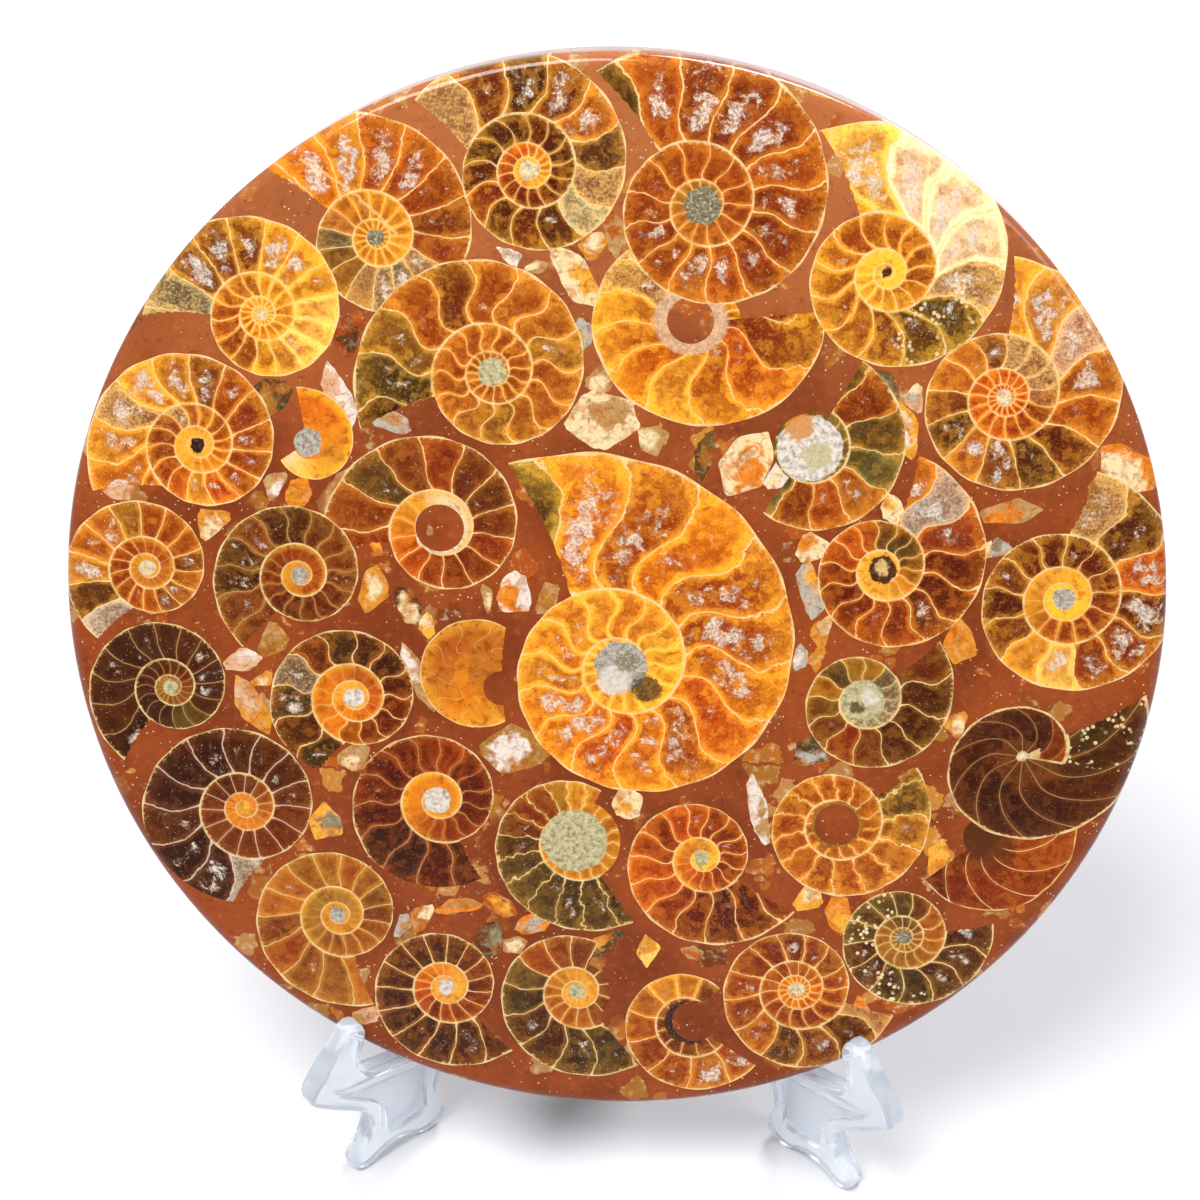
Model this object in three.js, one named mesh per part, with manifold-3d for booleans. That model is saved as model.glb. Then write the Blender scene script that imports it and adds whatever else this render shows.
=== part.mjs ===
// A polished round slab of sliced ammonites on a clear folding easel.
//
// The slab is a disc of red-brown stone resin. Sliced ammonites and chips of shell and crystal are
// set flush in its polished front. Units are millimetres, +Z is up, and the front faces -Y.
// On the face, u runs to the right and v runs up the slope; w points out of the polished front.

import * as THREE from 'three';
import { mergeVertices } from 'three/addons/utils/BufferGeometryUtils.js';
import Module from 'manifold-3d';

const wasm = await Module();
wasm.setup();

// ---------------------------------------------------------------- driving dimensions

const SLAB_RADIUS = 75;
const SLAB_THICKNESS = 10;
const EDGE_ROUND = 1.5;
const RIM_SEGMENTS = 72;
const LEAN = THREE.MathUtils.degToRad(19);
const FACE_CENTRE = new THREE.Vector3(0, -2.6, 88);
const GAP = 0.3;

const BASE_DEPTH = 3.2;
const DEPTH_PER_RADIUS = 0.11;
const CHIP_DEPTH = 3;

const LEG_THICKNESS = 3.6;
const LEG_ANGLE = THREE.MathUtils.degToRad(42.5);
const LEG_FOOT = new THREE.Vector2(-37.1, FACE_CENTRE.y - 22.8);
const WEB_THICKNESS = 1.4;
const HINGE_Y = LEG_FOOT.y - LEG_FOOT.x * Math.tan(LEG_ANGLE);
const PIN_RADIUS = 1.2;
const KNUCKLE_RADIUS = 3.2;
const TAIL_THICKNESS = 4;
const TAIL_START = new THREE.Vector2(-3.6, HINGE_Y - 1.8);
const TAIL_ANGLE = THREE.MathUtils.degToRad(109);

// ---------------------------------------------------------------- finishes

const finish = (color, roughness) => new THREE.MeshStandardMaterial({ color, roughness, metalness: 0 });

const TONES = {
  matrix: ['#b0603f', 0.32],
  golden: ['#d99a35', 0.2],
  orange: ['#d8691d', 0.2],
  amber: ['#b4712d', 0.2],
  redbrown: ['#8b3d1f', 0.2],
  darkbrown: ['#4b2c20', 0.2],
  olive: ['#6e5a2c', 0.2],
  cream: ['#e6cf9c', 0.25],
  crystal: ['#b9b2a4', 0.25],
  clear: ['#dce6ee', 0.12],
};

// ---------------------------------------------------------------- what is set in the face
//
// at      centre of the coil on the face (u, v)
// radius  distance from the centre to the outer wall at the mouth
// growth  how much the radius grows in one turn
// mouth   direction of the mouth, in degrees, counter-clockwise from u
// slant   how far the inner end of the mouth edge lies beyond the outer end, in degrees
// span    how much of the last turn is there, in degrees (a whole shell has 360)
// core    radius of the middle that is left where the last turn is broken away
// limit   radius beyond which the last turn is worn or cut away
// squash  how far the coil is pressed flat, across the direction squashTurn
// hole    a stone-filled hollow in the coil: offset from the centre (u, v), and radius
//
// Fossils that come first lie whole, and later ones are cut where they meet them.

const FOSSILS = [
  { name: 'ammonite_top_red', at: [10.8, 55.9], radius: 22, growth: 2.45, mouth: 130, tone: 'redbrown' },
  { name: 'ammonite_wavy_amber', at: [-16.4, 33.2], radius: 19.4, growth: 2.3, mouth: 205, tone: 'amber' },
  { name: 'ammonite_golden_left', at: [-47, 40.2], radius: 15.9, growth: 2.35, mouth: 182, tone: 'golden' },
  { name: 'ammonite_maroon_top', at: [-11.7, 60], radius: 17, growth: 2.1, mouth: 150, slant: 14,
    tone: 'redbrown' },
  { name: 'ammonite_yellow_top', at: [34.9, 47.7], radius: 20.5, growth: 2.45, mouth: 117, tone: 'golden' },
  { name: 'ammonite_amber_right', at: [51.2, 31.7], radius: 18.6, growth: 2.2, mouth: 90, tone: 'amber' },
  { name: 'ammonite_brown_left', at: [-42.6, 4.2], radius: 13.3, growth: 2.2, mouth: 233, slant: 6,
    tone: 'darkbrown' },
  { name: 'ammonite_dark_left', at: [-60.9, -12.6], radius: 13.1, growth: 2.3, mouth: 238, tone: 'darkbrown' },
  { name: 'ammonite_orange_eye_left', at: [-35.4, -13.3], radius: 13.2, growth: 2, mouth: 245, slant: 14,
    limit: 12.2, tone: 'olive' },
  { name: 'ammonite_orange_eye_low', at: [-23.8, -28.2], radius: 15.8, growth: 2.35, mouth: 298, limit: 13.2,
    tone: 'darkbrown' },
  { name: 'ammonite_centre', at: [1.5, -7.5], radius: 32.2, growth: 2.7, mouth: 119, slant: 6, tone: 'orange' },
  { name: 'ammonite_pitted_low', at: [32, -29.8], radius: 13.9, growth: 2.05, mouth: 40, hole: [0, 0, 3.1],
    tone: 'golden' },
  { name: 'ammonite_grey_bottom', at: [-3.9, -57], radius: 14.5, growth: 2.3, mouth: 309, span: 240, core: 4.8,
    tone: 'darkbrown' },
  { name: 'ammonite_orange_eye_bottom', at: [-22.7, -57], radius: 13.7, growth: 2.2, mouth: 315,
    tone: 'darkbrown' },
  { name: 'ammonite_tan_bottom', at: [-38.1, -46.3], radius: 14.8, growth: 2.2, mouth: 290, tone: 'amber' },
  { name: 'ammonite_round_bottom', at: [27.5, -55.3], radius: 14.3, growth: 2, mouth: 346, tone: 'redbrown' },
  { name: 'ammonite_open_bottom', at: [12.2, -61.2], radius: 11.8, growth: 1.95, mouth: 327, span: 275,
    core: 3.9, hole: [0.9, 0.3, 3.6], tone: 'amber' },
  { name: 'ammonite_speckled_low', at: [42.2, -46.6], radius: 12.8, growth: 2.15, mouth: 12, tone: 'olive' },
  { name: 'nautilus_right', at: [57, -18.7], radius: 18.6, growth: 2.8, mouth: 31, squash: 0.9, squashTurn: 30,
    tone: 'darkbrown' },
  { name: 'ammonite_copper_low', at: [13.4, -35.6], radius: 15.3, growth: 2.6, mouth: 330, tone: 'orange' },
  { name: 'ammonite_crystal_eye', at: [-4.5, -33.6], radius: 14.8, growth: 2.3, mouth: 305, span: 240,
    core: 6.4, tone: 'olive' },
  { name: 'ammonite_red_right', at: [36.5, 7.5], radius: 16.5, growth: 2.5, mouth: 76, tone: 'redbrown' },
  { name: 'ammonite_brown_right', at: [34.8, -11.3], radius: 13.4, growth: 2.4, mouth: 42, tone: 'olive' },
  { name: 'ammonite_rim_right', at: [60.9, 4.2], radius: 18.2, growth: 2.05, mouth: 80, slant: 9,
    tone: 'redbrown' },
  { name: 'ammonite_half_moon', at: [11.3, 40.7], radius: 16, growth: 1.2, mouth: 7, squash: 0.92,
    squashTurn: 0, hole: [-1.6, 0.1, 3.1], tone: 'golden' },
  { name: 'ammonite_half_white_eye', at: [26, 24], radius: 13.6, growth: 1.57, mouth: 62, span: 185, core: 4.8,
    tone: 'olive' },
  { name: 'ammonite_orange_rim_left', at: [-56, 22.1], radius: 16, growth: 2.2, mouth: 205, slant: 24,
    tone: 'orange' },
  { name: 'ammonite_small_rim_left', at: [-63.5, 4.6], radius: 12.8, growth: 2.15, mouth: 235, slant: 14,
    tone: 'amber' },
  { name: 'ammonite_dark_rim_left', at: [-51.1, -30.3], radius: 17.5, growth: 2.3, mouth: 262, slant: 28,
    limit: 14.7, tone: 'darkbrown' },
  { name: 'ammonite_white_patch', at: [-31.7, 50.7], radius: 18.6, growth: 2.6, mouth: 150, tone: 'orange' },
  { name: 'ammonite_open_ring', at: [-23.4, 11.3], radius: 16.5, growth: 2.35, mouth: 195, hole: [0, 0.2, 3.6],
    tone: 'amber' },
  { name: 'ammonite_crescent', at: [-18.3, -9.2], radius: 7.9, growth: 1, mouth: 300, span: 240,
    hole: [3.4, -2, 2.5], tone: 'amber' },
  { name: 'ammonite_small_crescent', at: [-41.2, 22.9], radius: 7.7, growth: 2.2, mouth: 100, span: 245,
    core: 1.8, tone: 'orange' },
  { name: 'nautilus_broken', at: [52.6, -30.8], radius: 12.8, growth: 1.6, mouth: 11, span: 150, core: 3,
    tone: 'redbrown' },
];

// at (u, v), size (long, wide), turn of the long side in degrees from u, number of corners
const CHIPS = [
  { name: 'chip_dark_crystal_left', at: [-45.7, 29.1], size: [6, 4.6], turn: 60, corners: 7, tone: 'olive' },
  { name: 'chip_white_left', at: [-37, 29.5], size: [8.2, 3.6], turn: 112, corners: 8, tone: 'crystal' },
  { name: 'chip_red_shell', at: [-35.5, 37.4], size: [6.4, 3.6], turn: 70, corners: 6, tone: 'redbrown' },
  { name: 'chip_yellow_top', at: [-5.6, 46.4], size: [9, 4.6], turn: 125, corners: 8, tone: 'golden' },
  { name: 'chip_cream_lump', at: [-1.9, 27.1], size: [10, 6.4], turn: 12, corners: 9, tone: 'cream' },
  { name: 'chip_diamond', at: [4.8, 24.8], size: [4.8, 3.8], turn: 150, corners: 5, tone: 'cream' },
  { name: 'chip_cream_block', at: [18, 22.4], size: [9.4, 6.4], turn: 62, corners: 6, tone: 'cream' },
  { name: 'chip_dark_crescent', at: [12.1, 23], size: [6.6, 2.6], turn: 80, corners: 7, tone: 'olive' },
  { name: 'chip_green', at: [35.4, 33.1], size: [6.4, 3.2], turn: 132, corners: 6, tone: 'olive' },
  { name: 'chip_yellow_crystal', at: [38.4, 27], size: [6.8, 3.8], turn: 98, corners: 8, tone: 'golden' },
  { name: 'chip_pale_crystals', at: [26.8, 4.4], size: [7.6, 3.2], turn: 100, corners: 8, tone: 'crystal' },
  { name: 'chip_orange_left', at: [-32.4, 3], size: [6.6, 4], turn: 80, corners: 6, tone: 'golden' },
  { name: 'chip_white_dome', at: [-13.1, 2.9], size: [5.8, 5], turn: 90, corners: 7, tone: 'crystal' },
  { name: 'chip_orange_bar', at: [-50, -14.9], size: [8.6, 3.8], turn: 118, corners: 6, tone: 'golden' },
  { name: 'chip_yellow_low', at: [-39.6, -31.8], size: [6.4, 4.4], turn: 100, corners: 5, tone: 'golden' },
  { name: 'chip_brown_crystals', at: [-13, -20.2], size: [8.4, 7], turn: 35, corners: 9, tone: 'amber' },
  { name: 'chip_shell_sliver', at: [-26.7, -9.2], size: [10.4, 2.6], turn: 115, corners: 6, tone: 'crystal' },
  { name: 'chip_dark_crystal_low', at: [27.9, -19.2], size: [5.6, 4.4], turn: 20, corners: 6, tone: 'olive' },
  { name: 'chip_orange_low', at: [33.1, -44], size: [6.2, 3.6], turn: 105, corners: 6, tone: 'orange' },
  { name: 'chip_orange_wedge', at: [47.5, -2.1], size: [7.8, 4], turn: 110, corners: 5, tone: 'golden' },
  { name: 'chip_rim_right', at: [67.6, 22.8], size: [9.4, 6], turn: 150, corners: 6, tone: 'cream' },
];

// ---------------------------------------------------------------- outlines on the face

const radians = THREE.MathUtils.degToRad;
const polar = (radius, degrees) =>
  new THREE.Vector2(radius * Math.cos(radians(degrees)), radius * Math.sin(radians(degrees)));

function fossilOutline(fossil) {
  const { radius, growth, mouth, slant = 0, span = 360, core = 0, limit = Infinity } = fossil;
  const reach = span === 360 ? span - slant : span;
  const steps = Math.round(reach / (radius > 25 ? 13 : 20));
  const points = [];
  for (let i = 0; i <= steps; i += 1) {
    const behind = reach * (1 - i / steps);
    const wall = Math.min(limit, radius * growth ** (-behind / 360));
    points.push(polar(wall, mouth - behind));
  }
  if (span < 360 && core > 0) {
    const coreSteps = Math.round((360 - span) / 30);
    for (let i = 0; i <= coreSteps; i += 1) {
      points.push(polar(core, mouth + ((360 - span) * i) / coreSteps));
    }
  }
  const turn = radians(fossil.squashTurn ?? 0);
  const origin = new THREE.Vector2();
  const centre = new THREE.Vector2(...fossil.at);
  return points.map((point) => {
    point.rotateAround(origin, -turn);
    point.y *= fossil.squash ?? 1;
    return point.rotateAround(origin, turn).add(centre);
  });
}

// A broken chip: an ellipse whose corners wander in and out in a fixed way.
function chipOutline({ at, size, turn, corners }) {
  const centre = new THREE.Vector2(...at);
  const points = [];
  for (let i = 0; i < corners; i += 1) {
    const wander = 1 + 0.16 * Math.sin(5 * i + at[0]);
    const point = polar(0.5 * wander, (360 * (i + 0.3 * Math.sin(3 * i + at[1]))) / corners);
    point.set(point.x * size[0], point.y * size[1]);
    points.push(point.rotateAround(new THREE.Vector2(), radians(turn)).add(centre));
  }
  return points;
}

function circleOutline(centre, radius, sides) {
  return Array.from({ length: sides }, (_, i) => polar(radius, (360 * i) / sides).add(centre));
}

// Moves every corner of an outline outwards by the same distance, with sharp corners held back.
function grown(points, distance) {
  const count = points.length;
  return points.map((point, i) => {
    const into = point.clone().sub(points[(i + count - 1) % count]).normalize();
    const out = points[(i + 1) % count].clone().sub(point).normalize();
    const normal = new THREE.Vector2(into.y + out.y, -into.x - out.x).normalize();
    const lean = Math.max(0.5, normal.x * into.y - normal.y * into.x);
    return point.clone().addScaledVector(normal, distance / lean);
  });
}

// ---------------------------------------------------------------- solids

function solid(geometry) {
  const plain = geometry.clone();
  plain.deleteAttribute('normal');
  plain.deleteAttribute('uv');
  const welded = mergeVertices(plain, 1e-4);
  const index = welded.index.array;
  const triangles = [];
  for (let i = 0; i < index.length; i += 3) {
    const [a, b, c] = index.slice(i, i + 3);
    if (a !== b && b !== c && c !== a) triangles.push(a, b, c);
  }
  const vertProperties = new Float32Array(welded.attributes.position.array);
  const triVerts = new Uint32Array(triangles);
  return new wasm.Manifold(new wasm.Mesh({ numProp: 3, vertProperties, triVerts }));
}

function prism(points, bottom, top) {
  const geometry = new THREE.ExtrudeGeometry(new THREE.Shape(points), {
    depth: top - bottom,
    bevelEnabled: false,
  });
  return solid(geometry.translate(0, 0, bottom));
}

function roundSlab(radius, top, bottom, segments) {
  const edge = [0, 0.5, 1].map((part) => {
    const angle = (part * Math.PI) / 2;
    return [radius - EDGE_ROUND * (1 - Math.cos(angle)), top - EDGE_ROUND * (1 - Math.sin(angle))];
  });
  const profile = [[0, bottom], [radius - 0.6, bottom], [radius, bottom + 0.6], ...edge, [0, top]];
  const points = profile.map(([x, y]) => new THREE.Vector2(x, y));
  return new THREE.LatheGeometry(points, segments).rotateX(Math.PI / 2);
}

function addNode(parent, name, manifold, tone) {
  const { vertProperties, triVerts } = manifold.getMesh();
  const geometry = new THREE.BufferGeometry();
  geometry.setAttribute('position', new THREE.BufferAttribute(vertProperties, 3));
  geometry.setIndex(new THREE.BufferAttribute(triVerts, 1));
  geometry.computeVertexNormals();
  const mesh = new THREE.Mesh(geometry, finish(...TONES[tone]));
  mesh.name = name;
  parent.add(mesh);
}

// ---------------------------------------------------------------- the slab and what is set in it

function buildSlab(group) {
  const slab = solid(roundSlab(SLAB_RADIUS, 0, -SLAB_THICKNESS, RIM_SEGMENTS));
  const above = EDGE_ROUND;
  const set = [];
  let matrix = slab;

  const inlay = (name, points, hole, depth, tone) => {
    let piece = prism(points, -depth, above);
    let pocket = prism(grown(points, GAP), -depth - GAP, above);
    if (hole) {
      piece = piece.subtract(prism(grown(hole, GAP), -depth - above, 2 * above));
      pocket = pocket.subtract(prism(hole, -depth - above, 2 * above));
    }
    const box = new THREE.Box2().setFromPoints(points);
    for (const earlier of set) {
      if (earlier.box.intersectsBox(box)) piece = piece.subtract(earlier.pocket);
    }
    addNode(group, name, piece.intersect(slab), tone);
    matrix = matrix.subtract(pocket);
    set.push({ box: box.expandByScalar(2 * GAP), pocket });
  };

  for (const fossil of FOSSILS) {
    const hole = fossil.hole && circleOutline(
      new THREE.Vector2(fossil.at[0] + fossil.hole[0], fossil.at[1] + fossil.hole[1]), fossil.hole[2], 12);
    const depth = BASE_DEPTH + DEPTH_PER_RADIUS * fossil.radius;
    inlay(fossil.name, fossilOutline(fossil), hole, depth, fossil.tone);
  }
  for (const chip of CHIPS) {
    inlay(chip.name, chipOutline(chip), null, CHIP_DEPTH, chip.tone);
  }
  addNode(group, 'matrix_slab', matrix, 'matrix');
}

// ---------------------------------------------------------------- the easel
//
// Each leg is a flat moulding that stands upright. Its outline is drawn with the distance back
// from the toe as x and the height as y. Both legs turn on one upright pin behind the slab.

const LEG_OUTLINE = [
  [0, 0], [1.9, 0], [4.4, 1.5], [7.2, 1.9], [9.6, 1], [11, 0], [13.2, 0], [15.4, 1.2], [15.9, 3.4],
  [14.7, 6], [14.5, 8.8], [15.6, 12], [18.4, 17.4], [26, 32.2], [31.5, 43], [35, 46.4], [39, 46.6],
  [42.6, 44], [44, 39.6], [44, 5], [43.2, 0], [48, 0], [48, 70], [46.6, 72], [42.4, 72], [40.4, 70],
  [25.8, 40.6], [16.2, 21.8], [14, 17.6], [8, 18.3], [2.6, 19.4], [1.2, 20.6], [1.3, 23.4], [2.8, 27],
  [2.6, 29.2], [0.9, 30], [-0.8, 29.2], [-3, 26], [-6.4, 22.6], [-7.6, 20.2], [-7.1, 18.4],
  [-3.4, 15.4], [0.4, 12.6], [2.3, 10.4], [2.5, 8.2], [1.2, 5], [-0.9, 2.8], [-1.2, 1],
];
const LEG_RECESSES = [
  [[4.6, 4.4], [10.2, 4.2], [12.6, 5], [12.1, 8.6], [13.2, 12.6], [12.6, 15], [7, 15.8], [2, 16.6],
    [-1.6, 17.4], [-3.2, 18.4], [-1.8, 16.8], [2.6, 13.6], [4.8, 11], [4.9, 7.6]],
  [[34.4, 49.4], [43.6, 48.6], [45, 52], [45, 67], [42.4, 68]],
];
const TAIL_OUTLINE = [[-1, 0], [19.5, 0], [21, 0.8], [21, 2.6], [19, 4.2], [11, 5.6], [4, 8.6], [1, 13], [-1, 14]];
const LEFT_KNUCKLES = [[4, 19], [37, 52]];
const RIGHT_KNUCKLES = [[20, 36], [53, 71]];
const PIN_BOTTOM = 3;
const PIN_TOP = 72.3;

// An upright plate: the outline's x runs along the ground from start, in the direction angle.
function uprightPlate(points, start, angle, near, far) {
  const along = new THREE.Vector3(Math.cos(angle), Math.sin(angle), 0);
  const up = new THREE.Vector3(0, 0, 1);
  const across = new THREE.Vector3().crossVectors(along, up);
  const placed = new THREE.Matrix4().makeBasis(along, up, across).setPosition(start.x, start.y, 0);
  const outline = points.map(([x, y]) => new THREE.Vector2(x, y));
  const geometry = new THREE.ExtrudeGeometry(new THREE.Shape(outline), {
    depth: far - near,
    bevelEnabled: false,
  });
  return geometry.translate(0, 0, near).applyMatrix4(placed);
}

function upright(radius, bottom, top, sides) {
  const geometry = new THREE.CylinderGeometry(radius, radius, top - bottom, sides).rotateX(Math.PI / 2);
  return geometry.translate(0, HINGE_Y, (top + bottom) / 2);
}

// Turns a left-hand shape into its mirror image across the middle plane x = 0.
function mirrored(geometry) {
  const turned = geometry.index ? geometry.toNonIndexed() : geometry.clone();
  turned.scale(-1, 1, 1);
  const { array } = turned.attributes.position;
  for (let i = 0; i < array.length; i += 9) {
    for (let k = 0; k < 3; k += 1) {
      [array[i + 3 + k], array[i + 6 + k]] = [array[i + 6 + k], array[i + 3 + k]];
    }
  }
  return turned;
}

function buildLeg(group, name, handed, ownKnuckles, otherKnuckles, slabSpace) {
  const half = LEG_THICKNESS / 2;
  const web = WEB_THICKNESS / 2;
  let leg = solid(handed(uprightPlate(LEG_OUTLINE, LEG_FOOT, LEG_ANGLE, -half, half)));
  for (const recess of LEG_RECESSES) {
    leg = leg.subtract(solid(handed(uprightPlate(recess, LEG_FOOT, LEG_ANGLE, web, half + 1))));
    leg = leg.subtract(solid(handed(uprightPlate(recess, LEG_FOOT, LEG_ANGLE, -half - 1, -web))));
  }
  const tailHalf = TAIL_THICKNESS / 2;
  leg = leg.add(solid(handed(uprightPlate(TAIL_OUTLINE, TAIL_START, TAIL_ANGLE, -tailHalf, tailHalf))));
  for (const [bottom, top] of ownKnuckles) leg = leg.add(solid(upright(KNUCKLE_RADIUS, bottom, top, 16)));
  for (const [bottom, top] of otherKnuckles) {
    leg = leg.subtract(solid(upright(KNUCKLE_RADIUS + GAP, bottom - GAP, top + GAP, 16)));
  }
  leg = leg.subtract(solid(upright(PIN_RADIUS + GAP, -1, PIN_TOP + 10, 16)));
  addNode(group, name, leg.subtract(slabSpace), 'clear');
}

function buildEasel(group, slabPlace) {
  const space = roundSlab(SLAB_RADIUS + GAP, GAP, -SLAB_THICKNESS - GAP, RIM_SEGMENTS);
  const slabSpace = solid(space.applyMatrix4(slabPlace));
  buildLeg(group, 'stand_left', (shape) => shape, LEFT_KNUCKLES, RIGHT_KNUCKLES, slabSpace);
  buildLeg(group, 'stand_right', mirrored, RIGHT_KNUCKLES, LEFT_KNUCKLES, slabSpace);
  const head = solid(upright(2.6, PIN_TOP, PIN_TOP + 1.6, 16));
  addNode(group, 'hinge_pin', solid(upright(PIN_RADIUS, PIN_BOTTOM, PIN_TOP, 16)).add(head), 'clear');
}

// ---------------------------------------------------------------- the whole object

const object = new THREE.Group();
const slabGroup = new THREE.Group();
slabGroup.rotation.x = Math.PI / 2 - LEAN;
slabGroup.position.copy(FACE_CENTRE);
slabGroup.updateMatrixWorld(true);
object.add(slabGroup);

buildSlab(slabGroup);
buildEasel(object, slabGroup.matrixWorld);

export default object;
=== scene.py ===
# %% [markdown]
# # A round slab of sliced ammonites on a clear folding easel
#
# The object is a disc of red-brown stone resin, 150 mm across and 10 mm thick. Sliced ammonites and chips of
# crystal lie flush in its polished front, and it leans on a clear easel of two hinged legs. This lesson
# loads the measured CAD model as a fixed frame, makes finer pieces that stand for its nodes, and gives each
# piece a material that is calculated from its own shape.

# %% Load the frame
import math
from types import SimpleNamespace

import bmesh
import bpy
from mathutils import Euler, Matrix, Vector


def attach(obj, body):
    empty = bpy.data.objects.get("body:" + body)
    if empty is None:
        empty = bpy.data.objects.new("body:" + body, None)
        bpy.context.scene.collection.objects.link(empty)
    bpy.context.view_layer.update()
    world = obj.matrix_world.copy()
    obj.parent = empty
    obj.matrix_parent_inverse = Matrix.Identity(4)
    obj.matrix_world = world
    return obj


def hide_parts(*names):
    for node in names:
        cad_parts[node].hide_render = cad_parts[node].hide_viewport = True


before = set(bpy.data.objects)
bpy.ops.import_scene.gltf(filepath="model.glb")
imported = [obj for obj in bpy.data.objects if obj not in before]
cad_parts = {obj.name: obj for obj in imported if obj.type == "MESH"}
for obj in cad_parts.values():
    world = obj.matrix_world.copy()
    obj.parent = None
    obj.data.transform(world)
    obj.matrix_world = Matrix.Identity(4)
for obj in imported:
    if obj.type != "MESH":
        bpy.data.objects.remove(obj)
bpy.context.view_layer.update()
print("nodes:", len(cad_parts))

# %% [markdown]
# ## One face to draw on
#
# The polished face leans back 19 degrees. Everything set in it is easier to draw flat, in millimetres, with
# u to the right, v up the slope and w out of the face. One matrix takes a flat drawing to its real place,
# and the same turn in a Mapping node takes a point of the finished surface back to the drawing. That is what
# lets a pattern follow each shell.

# %% The face frame
LEAN = math.radians(19)
TILT = math.pi / 2 - LEAN
FACE_CENTRE = Vector((0, -0.0026, 0.088))
MM = 0.001
SLAB_RADIUS = 75
SLAB_THICKNESS = 10
EDGE_ROUND = 1.5

FACE = Matrix.Translation(FACE_CENTRE) @ Matrix.Rotation(TILT, 4, "X") @ Matrix.Scale(MM, 4)
print("face centre:", tuple(FACE_CENTRE), "lean:", math.degrees(LEAN))

# %% [markdown]
# ## Arithmetic on sockets
#
# A pattern such as a coiled shell is mostly sums: an angle, a logarithm, a remainder. Wiring dozens of Math
# nodes by hand hides the idea, so a small class wraps one output socket and turns Python's operators into
# Math nodes. The Finish class owns one material, adds nodes to it, and ends in a Principled shader.

# %% Wire: a socket that knows arithmetic
class Wire:
    def __init__(self, finish, socket):
        self.finish = finish
        self.socket = socket

    def math(self, operation, *others):
        return self.finish.node("ShaderNodeMath", {"operation": operation}, dict(enumerate([self, *others])))

    def __add__(self, other):
        return self.math("ADD", other)

    def __radd__(self, other):
        return self.math("ADD", other)

    def __sub__(self, other):
        return self.math("SUBTRACT", other)

    def __rsub__(self, other):
        return self.math("MULTIPLY_ADD", -1, other)

    def __mul__(self, other):
        return self.math("MULTIPLY", other)

    def __rmul__(self, other):
        return self.math("MULTIPLY", other)

    def __truediv__(self, other):
        return self.math("DIVIDE", other)

    def __rtruediv__(self, other):
        return self.math("POWER", -1) * other

    def __pow__(self, other):
        return self.math("POWER", other)

    def least(self, other):
        return self.math("MINIMUM", other)

    def most(self, other):
        return self.math("MAXIMUM", other)

    def floor(self):
        return self.math("FLOOR")

    def fract(self):
        return self.math("FRACT")

    def sin(self):
        return self.math("SINE")

    def step(self, low, high):
        """0 below low, 1 above high, and a smooth rise between them. A low above high gives a fall."""
        if low > high:
            return 1 - self.step(high, low)
        return self.finish.node("ShaderNodeMapRange", {"interpolation_type": "SMOOTHSTEP"}, {
            "Value": self, "From Min": low, "From Max": high})


# %% Finish: one material and its nodes
def linear(hexcode, alpha=1.0):
    """A colour as painters write it, such as d8691d, in the linear light that shaders use."""
    channels = [int(hexcode[i:i + 2], 16) / 255 for i in (0, 2, 4)]
    return [c / 12.92 if c <= 0.04045 else ((c + 0.055) / 1.055) ** 2.4 for c in channels] + [alpha]


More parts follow.
